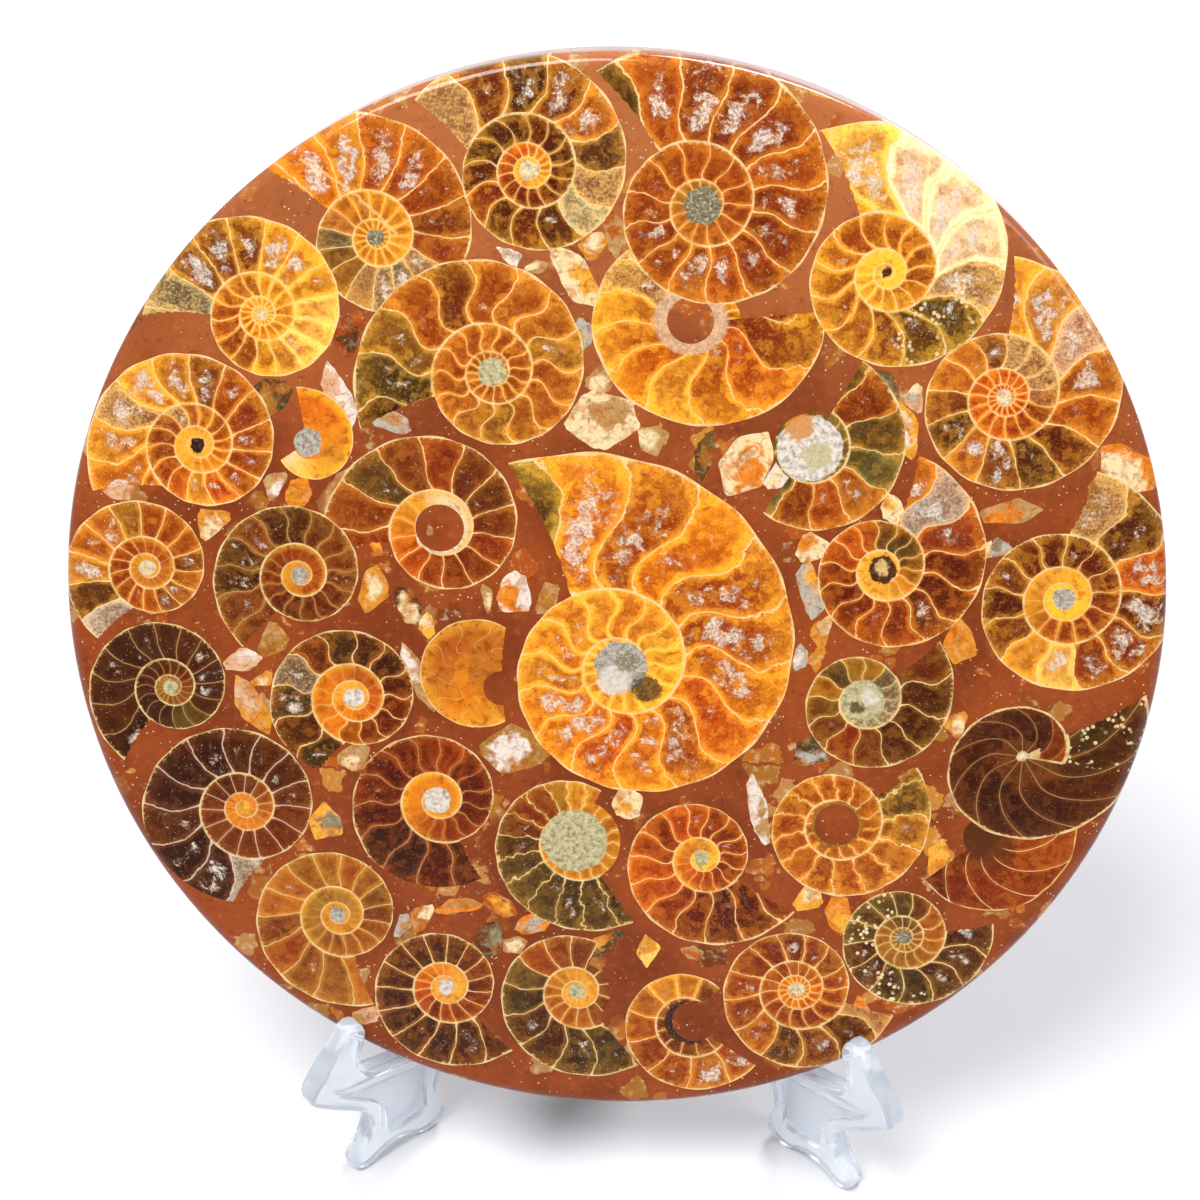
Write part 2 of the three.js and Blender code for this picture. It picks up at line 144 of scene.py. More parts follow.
class Finish:
    def __init__(self, name):
        self.material = bpy.data.materials.new(name)
        self.material.use_nodes = True
        self.tree = self.material.node_tree
        self.shader = self.tree.nodes["Principled BSDF"]
        self.object_coords = self.node("ShaderNodeTexCoord", {}, {}, "Object")

    def node(self, kind, settings, inputs, output=0):
        made = self.tree.nodes.new(kind)
        for key, value in settings.items():
            setattr(made, key, value)
        for key, value in inputs.items():
            self.feed(made.inputs[key], value)
        return Wire(self, made.outputs[output])

    def feed(self, socket, value):
        if isinstance(value, Wire):
            self.tree.links.new(value.socket, socket)
        elif isinstance(value, str):
            socket.default_value = linear(TONES[value])
        else:
            socket.default_value = value

    def set(self, **values):
        for key, value in values.items():
            self.feed(self.shader.inputs[key.replace("_", " ")], value)

    def drawing(self, u=0, v=0):
        """Millimetres on the face, measured from the point (u, v)."""
        place = FACE @ Vector((u, v, 0))
        return self.node("ShaderNodeMapping", {"vector_type": "TEXTURE"}, {
            "Vector": self.object_coords, "Location": place, "Rotation": (TILT, 0, 0), "Scale": (MM, MM, MM)})

    def split(self, vector):
        made = self.tree.nodes.new("ShaderNodeSeparateXYZ")
        self.feed(made.inputs[0], vector)
        return [Wire(self, socket) for socket in made.outputs]

    def noise(self, vector, scale, detail=2.0, rough=0.5, distortion=0.0):
        return self.node("ShaderNodeTexNoise", {}, {
            "Vector": vector, "Scale": scale, "Detail": detail, "Roughness": rough, "Distortion": distortion})

    def bend(self, vector, scale, amount, detail, rough=0.5):
        """The same places pushed about by noise, so that cells drawn on them have ragged edges."""
        push = self.node("ShaderNodeTexNoise", {}, {
            "Vector": vector, "Scale": scale, "Detail": detail, "Roughness": rough}, "Color")
        return self.node("ShaderNodeVectorMath", {"operation": "MULTIPLY_ADD"}, {
            0: push, 1: (amount, amount, amount), 2: vector})

    def cells(self, vector, scale, feature="F1", output="Distance"):
        return self.node("ShaderNodeTexVoronoi", {"feature": feature}, {
            "Vector": vector, "Scale": scale}, output)

    def chance(self, number):
        return self.node("ShaderNodeTexWhiteNoise", {"noise_dimensions": "1D"}, {"W": number}, "Value")

    def mix(self, share, below, above, blend="MIX"):
        made = self.tree.nodes.new("ShaderNodeMix")
        made.data_type = "RGBA"
        made.blend_type = blend
        made.clamp_factor = True
        for index, value in ((0, share), (6, below), (7, above)):
            self.feed(made.inputs[index], value)
        return Wire(self, made.outputs[2])

    def grade(self, colour, value):
        """The same colour, darker or lighter."""
        return self.node("ShaderNodeHueSaturation", {}, {"Color": colour, "Value": value})

    def deepen(self, colour):
        """The colour of the same stone where light has come through more of it."""
        return self.mix(1.0, colour, "depth", "MULTIPLY")

    def ramp(self, number, stops):
        """A run of tones. The second result is the run of each stop's third value, or 0 where it has none."""
        made = self.tree.nodes.new("ShaderNodeValToRGB")
        self.feed(made.inputs[0], number)
        points = made.color_ramp.elements
        while len(points) < len(stops):
            points.new(0.5)
        for point, (place, tone, *amount) in zip(points, stops):
            point.position = place
            point.color = linear(TONES[tone], *amount or [0])
        return [Wire(self, socket) for socket in made.outputs]

    def bump(self, height, strength, distance):
        return self.node("ShaderNodeBump", {}, {"Height": height, "Strength": strength, "Distance": distance})

    def polished_stone(self, colour, rough, relief, strength=0.1, coat=0):
        """Ground and polished stone: a faint gloss over very low relief."""
        self.set(Base_Color=colour, Roughness=rough, Normal=self.bump(relief, strength, 0.0001), IOR=1.5,
                 Specular_IOR_Level=0.14, Coat_Weight=coat)


# %% [markdown]
# ## The stone colours
#
# Calcite in a fossil shell runs from nearly black brown through rust and amber to a clear golden yellow,
# with milky crystal, grey-green grains and cream shell walls between. Naming each tone once keeps the later
# cells readable, because every shell is then a list of names.

# %% Tones
TONES = {
    "ink": "33190a", "soot": "3c1f12", "umber": "4c260c", "maroon": "642409", "chestnut": "763a12",
    "rust": "8a380d", "russet": "a24c10", "amber": "ae621b", "ochre": "97651f", "honey": "c47e1e",
    "gold": "da962a", "lemon": "e8b652", "flame": "c05510", "orange": "cf7415", "tan": "a67c48",
    "peach": "c89c78", "moss": "5c461c", "bog": "423112", "leaf": "5f5b2c", "stone": "7a7052",
    "pale": "b3a878", "ash": "a39a8b", "cream": "d8bf90", "milk": "d2c4b4", "clay": "8a3f18",
    "brick": "702f10", "salmon": "b06a3c", "shell": "d6b470", "line": "a07c50", "depth": "c9a288",
    "sun": "eeae2c", "wine": "521c0a", "ivory": "efdcae", "black": "000000", "white": "ffffff",
}
print(len(TONES), "tones")

# %% [markdown]
# ## What lies in the face
#
# Each shell is a logarithmic spiral: its radius is multiplied by growth once each turn. The same numbers
# give its outline and its pattern. at is its centre, mouth the direction of its open end, and slot the stone
# it is listed under. septa counts the chambers to a turn at the mouth, one turn in and at the heart, and
# first, arch, lean, sway, bow and lobes place and bend the walls between them. tones are the colours met on
# the way in from the mouth, each with its place in turns and, after it, how much milky crystal the chamber
# holds. tube is where the inner turns become smooth, core and blobs fill the heart, and closed ends the
# inner turns of a shell whose last turn covers them.

# %% The fossils
FOSSILS = [
    dict(name="ammonite_top_red", at=(10.8, 55.9), radius=22, growth=2.45, mouth=130, slot="redbrown",
         septa=(17, 12.5, 14), first=0.012, arch=(0, 0.05), lean=(-0.3, -0.2), sway=0.1, glow="honey",
         core=(2.4, "stone"), tones=[
             (0, "bog"), (0.01, "bog"), (0.03, "russet", 0.7), (0.1, "rust", 1), (0.16, "rust", 1),
             (0.22, "rust", 0.9), (0.29, "russet", 0.7), (0.35, "rust", 0.7), (0.48, "rust", 0.6),
             (0.55, "russet", 0.5), (0.62, "amber", 0.9), (0.7, "russet", 0.6), (0.77, "rust", 0.7),
             (0.85, "rust", 0.6), (0.93, "russet", 0.6), (1, "russet", 0.2), (1.4, "russet"), (1.65, "amber"),
             (2, "ochre")]),
    dict(name="ammonite_wavy_amber", at=(-16.4, 33.2), radius=19.4, growth=2.3, mouth=205, slot="amber",
         septa=(15.5, 13.5, 16), first=0.01, arch=(0, 0), lean=(-0.25, -0.35), sway=0.22, glow="gold",
         core=(1.9, "pale"), tones=[
             (0, "ink"), (0.02, "bog", 0.4), (0.07, "moss", 0.9), (0.12, "ochre", 0.4), (0.16, "russet", 0.1),
             (0.23, "chestnut", 0.2), (0.3, "russet", 0.3), (0.38, "amber", 0.2), (0.45, "amber", 0.1),
             (0.52, "ochre", 0.6), (0.6, "russet", 0.1), (0.7, "amber", 0.2), (0.8, "ochre", 0.1),
             (0.9, "amber"), (1.1, "russet"), (1.3, "amber"), (1.5, "russet"), (2, "amber")]),
    dict(name="ammonite_golden_left", at=(-47, 40.2), radius=15.9, growth=2.35, mouth=182, slot="golden",
         septa=(15.3, 14.8, 16), first=0.06, arch=(0.15, -0.25), lean=(-0.45, 0.25), glow="sun",
         core=(0.6, "cream"), tones=[
             (0, "stone", 0.2), (0.05, "stone", 0.3), (0.09, "chestnut", 1), (0.15, "chestnut", 1),
             (0.22, "chestnut", 0.6), (0.29, "honey", 1), (0.36, "gold", 0.7), (0.43, "gold", 0.3),
             (0.5, "lemon", 0.1), (0.63, "lemon", 0.6), (0.7, "honey", 0.4), (0.76, "gold", 0.3),
             (0.83, "rust"), (0.9, "russet", 0.2), (1.05, "russet"), (1.2, "amber"), (1.3, "gold"),
             (1.6, "honey"), (1.9, "orange"), (2.2, "gold")]),
    dict(name="ammonite_maroon_top", at=(-11.7, 60), radius=17, growth=2.1, mouth=150, slant=14,
         slot="redbrown", septa=(14, 13, 14.5), first=0.035, arch=(0.25, 0.3), lean=(-0.45, 0.15), feet=1.6,
         glow="gold", tube=(2.35, "sun"), core=(1.2, "cream"), tones=[
             (0, "tan", 0.2), (0.02, "russet", 0.4), (0.07, "chestnut", 0.6), (0.14, "umber", 0.7),
             (0.21, "chestnut", 0.9), (0.28, "amber", 1), (0.355, "umber", 0.2), (0.43, "tan"), (0.5, "pale"),
             (0.53, "pale"), (0.57, "umber", 0.2), (0.65, "maroon", 0.4), (0.72, "umber", 0.3),
             (0.8, "rust", 0.6), (0.87, "maroon", 0.3), (0.95, "umber", 0.4), (1.1, "umber", 0.2),
             (1.2, "maroon", 0.3), (1.3, "umber"), (1.5, "maroon"), (1.8, "rust"), (2.1, "flame"),
             (2.5, "gold")]),
    dict(name="ammonite_yellow_top", at=(34.9, 47.7), radius=20.5, growth=2.45, mouth=117, slot="golden",
         septa=(13.3, 13.3, 14), first=0.03, arch=(-0.5, -0.35), lean=(0.5, 0.1), feet=2, glow="sun",
         core=(0.6, "umber"), tube=(1.62, "lemon"), pyrite=(0.34, 0.55, 0.8), tones=[
             (0, "gold", 0.8), (0.03, "sun", 0.9), (0.07, "lemon", 1), (0.15, "ivory", 1), (0.22, "ivory", 1),
             (0.3, "ivory", 1), (0.37, "tan", 1), (0.43, "moss", 0.7), (0.5, "moss", 0.6),
             (0.57, "chestnut", 0.6), (0.65, "amber", 0.4), (0.74, "amber", 0.5), (0.85, "honey", 0.3),
             (0.95, "russet", 0.2), (1.2, "amber"), (1.35, "russet", 0.2), (1.5, "honey"), (1.65, "gold"),
             (1.9, "sun")]),
    dict(name="ammonite_amber_right", at=(51.2, 31.7), radius=18.6, growth=2.2, mouth=90, slot="amber",
         septa=(14.5, 13.5, 15.5), first=0.05, arch=(-0.4, 0.25), lean=(0.4, -0.2), feet=1.5, glow="gold",
         core=(1, "cream"), tones=[
             (0, "gold", 0.8), (0.05, "gold", 0.9), (0.08, "honey", 1), (0.15, "peach", 0.9),
             (0.22, "amber", 0.9), (0.29, "russet", 0.2), (0.365, "maroon"), (0.435, "umber", 0.4),
             (0.5, "chestnut", 1), (0.575, "amber", 0.8), (0.645, "umber", 0.8), (0.715, "chestnut", 0.1),
             (0.79, "amber", 0.3), (0.87, "amber", 0.5), (0.94, "chestnut", 0.7), (0.99, "tan"),
             (1.21, "tan"), (1.25, "rust"), (1.3, "rust"), (1.5, "flame"), (2, "flame")]),
    dict(name="ammonite_brown_left", at=(-42.6, 4.2), radius=13.3, growth=2.2, mouth=233, slant=6,
         slot="darkbrown", septa=(15.5, 15, 18), first=0.035, arch=(-0.05, 0.1), lean=(0.3, -0.2), sway=0.12,
         line="line", glow="ochre", tube=(1.1, "gold"), core=(1.2, "ash"), tones=[
             (0, "chestnut", 0.2), (0.07, "chestnut", 0.5), (0.13, "umber", 0.7), (0.2, "umber", 0.8),
             (0.26, "chestnut", 0.7), (0.33, "umber", 0.4), (0.39, "umber", 0.1), (0.5, "chestnut"),
             (0.65, "chestnut", 0.3), (0.75, "maroon"), (1, "maroon"), (1.4, "rust"), (1.8, "russet"),
             (2.1, "honey")]),
    dict(name="ammonite_dark_left", at=(-60.9, -12.6), radius=13.1, growth=2.3, mouth=238, slot="darkbrown",
         septa=(16, 15.5, 17), first=0.003, arch=(-0.45, 0.4), lean=(0.2, -0.1), line="line", glow="umber",
         core=(1, "pale"), tones=[
             (0, "umber", 0.5), (0.04, "ink", 0.8), (0.1, "umber", 0.2), (0.3, "soot", 0.4),
             (0.5, "umber", 0.4), (0.6, "soot", 0.7), (0.7, "umber", 0.5), (0.76, "umber"), (0.79, "moss"),
             (0.9, "moss"), (0.93, "soot"), (1.3, "umber"), (1.6, "chestnut"), (2, "ochre")]),
    dict(name="ammonite_orange_eye_left", at=(-35.4, -13.3), radius=13.2, growth=2, mouth=245, slant=14,
         limit=12.2, slot="olive", septa=(13, 12.8, 14), first=0.045, arch=(0, 0.1), lean=(0.1, -0.05),
         sway=0.12, glow="amber", tube=(0.95, "gold"), core=(1.4, "milk"), tones=[
             (0, "bog", 0.3), (0.085, "umber", 0.2), (0.16, "bog", 1), (0.23, "stone", 0.4),
             (0.31, "chestnut", 0.3), (0.375, "bog", 0.2), (0.45, "umber", 0.1), (0.53, "soot"),
             (0.6, "umber", 0.1), (0.68, "maroon"), (0.76, "maroon", 0.1), (0.85, "maroon"), (1, "orange"),
             (1.2, "orange"), (1.5, "russet"), (1.75, "flame"), (2, "orange"), (2.3, "gold")]),
    dict(name="ammonite_orange_eye_low", at=(-23.8, -28.2), radius=15.8, growth=2.35, mouth=298, limit=13.2,
         slot="darkbrown", septa=(14.8, 15.3, 16), first=0.045, arch=(0, 0), lean=(0.25, -0.1), sway=0.15,
         line="line", glow="russet", tube=(1.05, "sun"), core=(1.9, "milk"), tones=[
             (0, "umber"), (0.08, "wine", 0.1), (0.15, "soot"), (0.22, "ink"), (0.28, "wine"),
             (0.35, "maroon", 0.4), (0.41, "wine", 0.3), (0.5, "maroon", 0.2), (0.6, "rust"), (0.7, "wine"),
             (0.9, "maroon"), (1, "rust"), (1.3, "orange"), (1.6, "orange"), (2, "honey")]),
    dict(name="ammonite_centre", at=(1.5, -7.5), radius=32.2, growth=2.7, mouth=119, slant=6, slot="orange",
         septa=(17, 13.8, 20), first=0.004, arch=(-0.05, 0), lean=(-0.55, -0.3), sway=0.25, glow="sun",
         core=(3.6, "ash"), tones=[
             (0, "moss"), (0.002, "moss"), (0.012, "amber", 1), (0.035, "orange", 1), (0.09, "russet", 0.8),
             (0.15, "orange", 0.5), (0.21, "russet", 0.7), (0.27, "russet", 1), (0.33, "orange", 0.9),
             (0.4, "flame", 0.4), (0.46, "russet", 0.9), (0.53, "orange", 0.8), (0.6, "flame", 0.8),
             (0.68, "orange", 1), (0.755, "orange", 1), (0.82, "gold", 0.6), (0.89, "orange", 0.5),
             (1, "gold", 0.3), (1.1, "orange", 0.3), (1.2, "gold", 0.3), (1.4, "sun"), (1.6, "gold")],
         blobs=[(-1, -2, 2.2, "milk"), (0.7, 0.9, 1.5, "stone"), (3.6, -3.1, 1.9, "bog")]),
    dict(name="ammonite_pitted_low", at=(32, -29.8), radius=13.9, growth=2.05, mouth=40, hole=(0, 0, 3.1),
         slot="golden", septa=(14.5, 14.5, 14), first=0.02, arch=(-0.1, 0.1), lean=(0, 0.2), lobes=0.25,
         glow="gold", core=(3.5, "ochre"), tones=[
             (0, "moss"), (0.05, "moss", 0.3), (0.1, "ochre", 0.3), (0.2, "amber", 0.1), (0.35, "russet"),
             (0.5, "amber"), (0.6, "russet"), (0.7, "amber", 0.2), (0.85, "russet"), (1, "amber")]),
    dict(name="ammonite_grey_bottom", at=(-3.9, -57), radius=14.5, growth=2.3, mouth=309, span=240,
         core_cut=4.8, slot="darkbrown", septa=(13.8, 13.8, 14), first=0.01, arch=(-0.35, 0.1),
         lean=(0.1, -0.3), glow="ochre", tube=(1.35, "honey"), core=(1.2, "pale"), tones=[
             (0, "bog", 0.4), (0.04, "bog", 0.3), (0.11, "bog", 0.7), (0.19, "umber", 0.4),
             (0.26, "umber", 0.4), (0.34, "bog", 0.2), (0.41, "moss", 0.3), (0.48, "russet"),
             (0.6, "chestnut"), (0.9, "chestnut"), (1.1, "amber"), (1.3, "amber"), (1.5, "honey"),
             (1.8, "gold")]),
    dict(name="ammonite_orange_eye_bottom", at=(-22.7, -57), radius=13.7, growth=2.2, mouth=315,
         slot="darkbrown", septa=(15.2, 15.2, 16), first=0.035, arch=(-0.1, 0.1), lean=(-0.6, 0.2), feet=1.4,
         glow="amber", tube=(1.4, "honey"), core=(1.1, "milk"), tones=[
             (0, "umber"), (0.06, "umber", 0.5), (0.13, "soot", 0.3), (0.25, "soot", 0.2),
             (0.4, "umber", 0.2), (0.52, "umber", 0.3), (0.65, "umber"), (0.78, "chestnut"), (0.9, "maroon"),
             (1, "rust"), (1.1, "russet"), (1.2, "maroon"), (1.35, "flame"), (1.55, "orange"),
             (1.8, "gold")]),
    dict(name="ammonite_tan_bottom", at=(-38.1, -46.3), radius=14.8, growth=2.2, mouth=290, slot="amber",
         septa=(15, 15.3, 16.5), first=0.04, arch=(-0.15, -0.1), lean=(0.25, 0), glow="ochre", line="shell",
         tube=(1, "gold"), core=(1.1, "ash"), tones=[
             (0, "amber", 0.1), (0.1, "ochre", 0.3), (0.2, "russet", 0.3), (0.26, "chestnut", 0.3),
             (0.33, "amber", 0.6), (0.42, "amber", 0.3), (0.5, "ochre", 0.3), (0.6, "amber", 0.1),
             (0.7, "ochre"), (0.8, "chestnut"), (0.95, "amber"), (1.2, "ochre"), (1.6, "ochre"),
             (2, "honey")]),
    dict(name="ammonite_round_bottom", at=(27.5, -55.3), radius=14.3, growth=2, mouth=346, slot="redbrown",
         septa=(12.8, 14, 15), first=0.05, arch=(-0.3, 0.2), lean=(0, 0.1), feet=1.5, glow="honey",
         core=(1.1, "cream"), tones=[
             (0, "tan", 0.6), (0.03, "amber"), (0.09, "umber", 0.2), (0.17, "chestnut", 0.5),
             (0.24, "umber", 0.6), (0.3, "amber", 0.8), (0.375, "rust", 0.3), (0.445, "russet", 0.5),
             (0.515, "rust", 0.4), (0.585, "rust", 0.3), (0.66, "maroon", 0.7), (0.74, "rust", 0.5),
             (0.8, "chestnut", 0.3), (0.9, "russet", 0.3), (1.2, "rust"), (1.5, "russet", 0.2), (1.7, "rust"),
             (2, "orange")]),
    dict(name="ammonite_open_bottom", at=(12.2, -61.2), radius=11.8, growth=1.95, mouth=327, span=275,
         core_cut=3.9, hole=(0.9, 0.3, 3.2), slot="amber", septa=(10, 12.5, 12), first=0.055,
         arch=(-0.1, 0.05), lean=(-0.15, -0.2), glow="honey", core=(3.4, "soot"), tones=[
             (0, "russet", 0.9), (0.04, "rust", 0.5), (0.1, "amber", 1), (0.2, "russet", 0.4), (0.3, "rust"),
             (0.38, "russet"), (0.45, "amber", 0.2), (0.53, "honey", 0.2), (0.6, "gold", 1),
             (0.68, "honey", 0.3), (0.75, "chestnut")]),
    dict(name="ammonite_speckled_low", at=(42.2, -46.6), radius=12.8, growth=2.15, mouth=12, slot="olive",
         septa=(13.8, 13.5, 14), first=0, arch=(-0.4, 0.3), lean=(0.1, 0), pyrite=(0.2, 0.82, 1),
         glow="ochre", core=(1, "stone"), tones=[
             (0, "umber", 0.3), (0.1, "umber", 0.6), (0.17, "umber", 0.8), (0.25, "bog", 0.2),
             (0.33, "bog", 0.5), (0.4, "umber", 0.5), (0.47, "umber", 0.4), (0.55, "moss", 0.3),
             (0.8, "moss"), (0.86, "chestnut", 0.2), (0.93, "amber"), (1.3, "ochre"), (1.6, "ochre"),
             (1.75, "bog"), (2, "ochre")]),
    dict(name="nautilus_right", at=(57, -18.7), radius=18.6, growth=2.8, mouth=31, squash=0.9, squash_turn=30,
         slot="darkbrown", septa=(13.5, 8, 14), first=0.07, bow=(1.25, 1.8), feet=0, wall=0.2,
         glow="chestnut", closed=0.117, pyrite=(-1, 0.12, 0.8), core=(0.8, "cream"), line="line", tones=[
             (0, "bog"), (0.06, "umber"), (0.1, "umber"), (0.3, "soot"), (0.5, "umber"), (0.7, "soot"),
             (0.9, "umber"), (1, "rust"), (1.2, "russet")]),
    dict(name="ammonite_copper_low", at=(13.4, -35.6), radius=15.3, growth=2.6, mouth=330, slot="orange",
         septa=(15.5, 14.3, 16), first=0.01, arch=(-0.05, 0), lean=(-0.4, -0.2), sway=0.15, glow="orange",
         tube=(1.05, "sun"), core=(1.1, "pale"), tones=[
             (0, "maroon"), (0.1, "wine", 0.4), (0.17, "maroon"), (0.25, "rust", 0.2), (0.35, "flame", 0.1),
             (0.5, "rust", 0.1), (0.6, "flame", 0.6), (0.7, "rust", 0.4), (0.9, "rust", 0.3), (1.05, "rust"),
             (1.3, "flame"), (1.7, "honey"), (2, "sun")]),
    dict(name="ammonite_crystal_eye", at=(-4.5, -33.6), radius=14.8, growth=2.3, mouth=305, span=240,
         core_cut=6.4, slot="olive", septa=(18, 18, 18), first=0.02, arch=(0, 0), lean=(-0.1, 0), lobes=0.3,
         glow="ochre", core=(4.6, "pale"), tones=[
             (0, "bog", 0.5), (0.1, "bog", 0.6), (0.2, "moss", 0.2), (0.3, "bog", 0.4),
             (0.4, "chestnut", 0.3), (0.48, "rust"), (0.53, "ochre"), (0.6, "gold", 0.2), (0.66, "honey")]),
    dict(name="ammonite_red_right", at=(36.5, 7.5), radius=16.5, growth=2.5, mouth=76, slot="redbrown",
         septa=(14.4, 14.4, 15), first=0.02, arch=(0.05, 0), lean=(-0.15, -0.2), sway=0.18, glow="orange",
         tube=(1.2, "lemon"), core=(1.9, "umber"), tones=[
             (0, "amber", 0.9), (0.05, "ash", 1), (0.12, "rust", 0.6), (0.19, "maroon"),
             (0.27, "maroon", 0.1), (0.335, "chestnut", 0.8), (0.4, "rust", 0.2), (0.46, "russet", 0.6),
             (0.53, "rust", 0.2), (0.6, "maroon", 0.1), (0.7, "rust", 0.2), (0.8, "flame", 0.4),
             (0.88, "russet"), (0.97, "moss"), (1.15, "moss"), (1.3, "honey"), (1.5, "gold")],
         blobs=[(-0.3, 0.2, 0.8, "shell")]),
    dict(name="ammonite_brown_right", at=(34.8, -11.3), radius=13.4, growth=2.4, mouth=42, slot="olive",
         septa=(12.5, 12.5, 12), first=0.06, arch=(0, 0), lean=(-0.1, 0.1), sway=0.12, glow="ochre",
         core=(2.9, "pale"), tones=[
             (0, "chestnut"), (0.1, "umber", 0.2), (0.25, "umber"), (0.35, "chestnut"), (0.43, "rust", 0.1),
             (0.5, "chestnut", 0.2), (0.56, "bog"), (0.64, "honey"), (0.7, "moss"), (0.8, "moss"),
             (0.86, "gold"), (0.93, "moss"), (1.1, "stone"), (1.5, "pale")],
         blobs=[(-0.8, -0.9, 1.1, "bog"), (0.9, 0.4, 1.3, "milk")]),
    dict(name="ammonite_rim_right", at=(60.9, 4.2), radius=18.2, growth=2.05, mouth=80, slant=9,
         slot="redbrown", septa=(12.8, 13.2, 14), first=0.04, arch=(0.2, 0), lean=(0.05, -0.1), sway=0.08,
         glow="gold", tube=(1.45, "gold"), core=(1.5, "ash"), tones=[
             (0, "tan", 0.6), (0.02, "chestnut"), (0.075, "soot", 0.4), (0.155, "flame", 0.9),
             (0.23, "maroon", 1), (0.31, "rust", 0.9), (0.395, "rust", 0.8), (0.475, "lemon", 0.8),
             (0.55, "honey", 0.5), (0.63, "maroon", 0.4), (0.7, "wine", 0.4), (0.77, "chestnut", 0.5),
             (0.85, "maroon", 0.2), (0.93, "maroon", 0.4), (1.1, "maroon", 0.2), (1.3, "rust"),
             (1.5, "russet"), (1.7, "honey"), (2, "gold"), (2.3, "sun")]),
    dict(name="ammonite_half_moon", at=(11.3, 40.7), radius=16, growth=1.2, mouth=7, squash=0.92,
         squash_turn=0, span=330, core_cut=5, hole=(-1.6, 0.1, 3.1), coil=6, slot="golden", septa=(9, 20, 14),
         first=0.088, arch=(0, 0), lean=(0, 0), sway=0.34, glow="sun", core=(1, "peach"), tones=[
             (0, "rust"), (0.05, "rust", 0.2), (0.13, "flame", 0.4), (0.19, "rust", 0.3),
             (0.25, "orange", 0.3), (0.31, "gold", 0.2), (0.37, "orange"), (0.43, "flame"), (0.49, "gold"),
             (0.55, "honey", 0.5), (0.61, "tan", 0.8), (0.9, "honey")],
         blobs=[(-1.6, 0.1, 4.9, "peach")]),
    dict(name="ammonite_half_white_eye", at=(26, 24), radius=13.6, growth=1.57, mouth=62, span=185,
         core_cut=4.8, coil=2.4, slot="olive", septa=(12.5, 12.5, 13), first=0.01, arch=(0, 0),
         lean=(-0.1, 0.1), sway=0.1, lobes=0.1, glow="honey", core=(4.4, "milk"), tones=[
             (0, "moss", 0.1), (0.05, "rust", 0.3), (0.12, "moss"), (0.2, "leaf"), (0.23, "leaf"),
             (0.3, "amber", 0.5), (0.37, "russet", 0.5), (0.45, "rust"), (0.5, "leaf")],
         blobs=[(-1.6, 2.9, 1.9, "honey"), (1.2, -1, 1.9, "pale")]),
    dict(name="ammonite_orange_rim_left", at=(-56, 22.1), radius=16, growth=2.2, mouth=205, slant=24,
         slot="orange", septa=(15.3, 14.8, 15), first=0.055, arch=(-0.4, 0.3), lean=(0.3, 0), feet=1.3,
         glow="gold", tube=(1.6, "gold"), core=(1, "ink"), tones=[
             (0, "orange", 0.8), (0.09, "honey", 0.9), (0.15, "tan", 1), (0.22, "gold", 1),
             (0.28, "honey", 1), (0.345, "chestnut", 0.9), (0.41, "russet", 0.5), (0.48, "rust", 0.3),
             (0.55, "russet", 0.6), (0.65, "rust", 0.3), (0.75, "flame", 0.5), (0.81, "gold", 0.7),
             (0.87, "flame"), (1, "rust"), (1.15, "rust", 0.1), (1.22, "tan", 0.8), (1.3, "amber"),
             (1.45, "russet"), (1.65, "orange"), (2, "gold")]),
    dict(name="ammonite_small_rim_left", at=(-63.5, 4.6), radius=12.8, growth=2.15, mouth=235, slant=14,
         slot="amber", septa=(14, 15, 16), first=0.03, arch=(0.1, 0.05), lean=(-0.4, 0.25), glow="honey",
         tube=(1.2, "gold"), core=(1.1, "cream"), tones=[
             (0, "ash", 0.3), (0.01, "ash"), (0.06, "umber"), (0.13, "honey", 1), (0.21, "amber", 0.4),
             (0.28, "amber", 1), (0.35, "ochre", 0.5), (0.42, "russet", 0.1), (0.55, "russet", 0.3),
             (0.62, "chestnut", 0.7), (0.7, "amber", 0.4), (0.8, "chestnut", 0.7), (0.9, "russet", 0.2),
             (1.15, "rust", 0.2), (1.5, "russet"), (2, "amber"), (2.4, "honey")]),
    dict(name="ammonite_dark_rim_left", at=(-51.1, -30.3), radius=17.5, growth=2.3, mouth=262, slant=28,
         limit=14.7, slot="darkbrown", septa=(14.5, 14.3, 15), first=0.025, arch=(-0.35, 0.05),
         lean=(0.1, -0.3), line="milk", glow="chestnut", feet=2.2, tube=(1.6, "honey"), core=(1, "gold"),
         tones=[
             (0, "ash", 0.3), (0.01, "soot", 0.4), (0.06, "soot", 0.8), (0.13, "ink", 0.5),
             (0.2, "umber", 0.6), (0.27, "soot", 0.2), (0.33, "soot", 0.2), (0.39, "ink", 0.7),
             (0.5, "umber", 0.2), (0.65, "umber", 0.6), (0.75, "chestnut", 0.2), (0.85, "maroon", 0.2),
             (1, "chestnut"), (1.2, "chestnut", 0.2), (1.4, "umber"), (1.55, "chestnut", 0.4), (1.7, "amber"),
             (2, "orange")]),
    dict(name="ammonite_white_patch", at=(-31.7, 50.7), radius=18.6, growth=2.6, mouth=150, slot="orange",
         septa=(15, 15, 15), first=0.065, arch=(0.2, 0.1), lean=(-0.4, -0.3), glow="honey",
         core=(1.1, "stone"), crack=(-9.9, 10, -37, 16), tones=[
             (0, "orange", 1), (0.05, "orange", 1), (0.1, "honey", 1), (0.165, "russet", 1),
             (0.23, "russet", 0.9), (0.3, "rust", 0.5), (0.36, "chestnut", 0.4), (0.43, "rust", 0.2),
             (0.5, "tan", 0.9), (0.6, "stone", 1), (0.66, "tan", 0.6), (0.75, "ochre", 0.2), (0.88, "moss"),
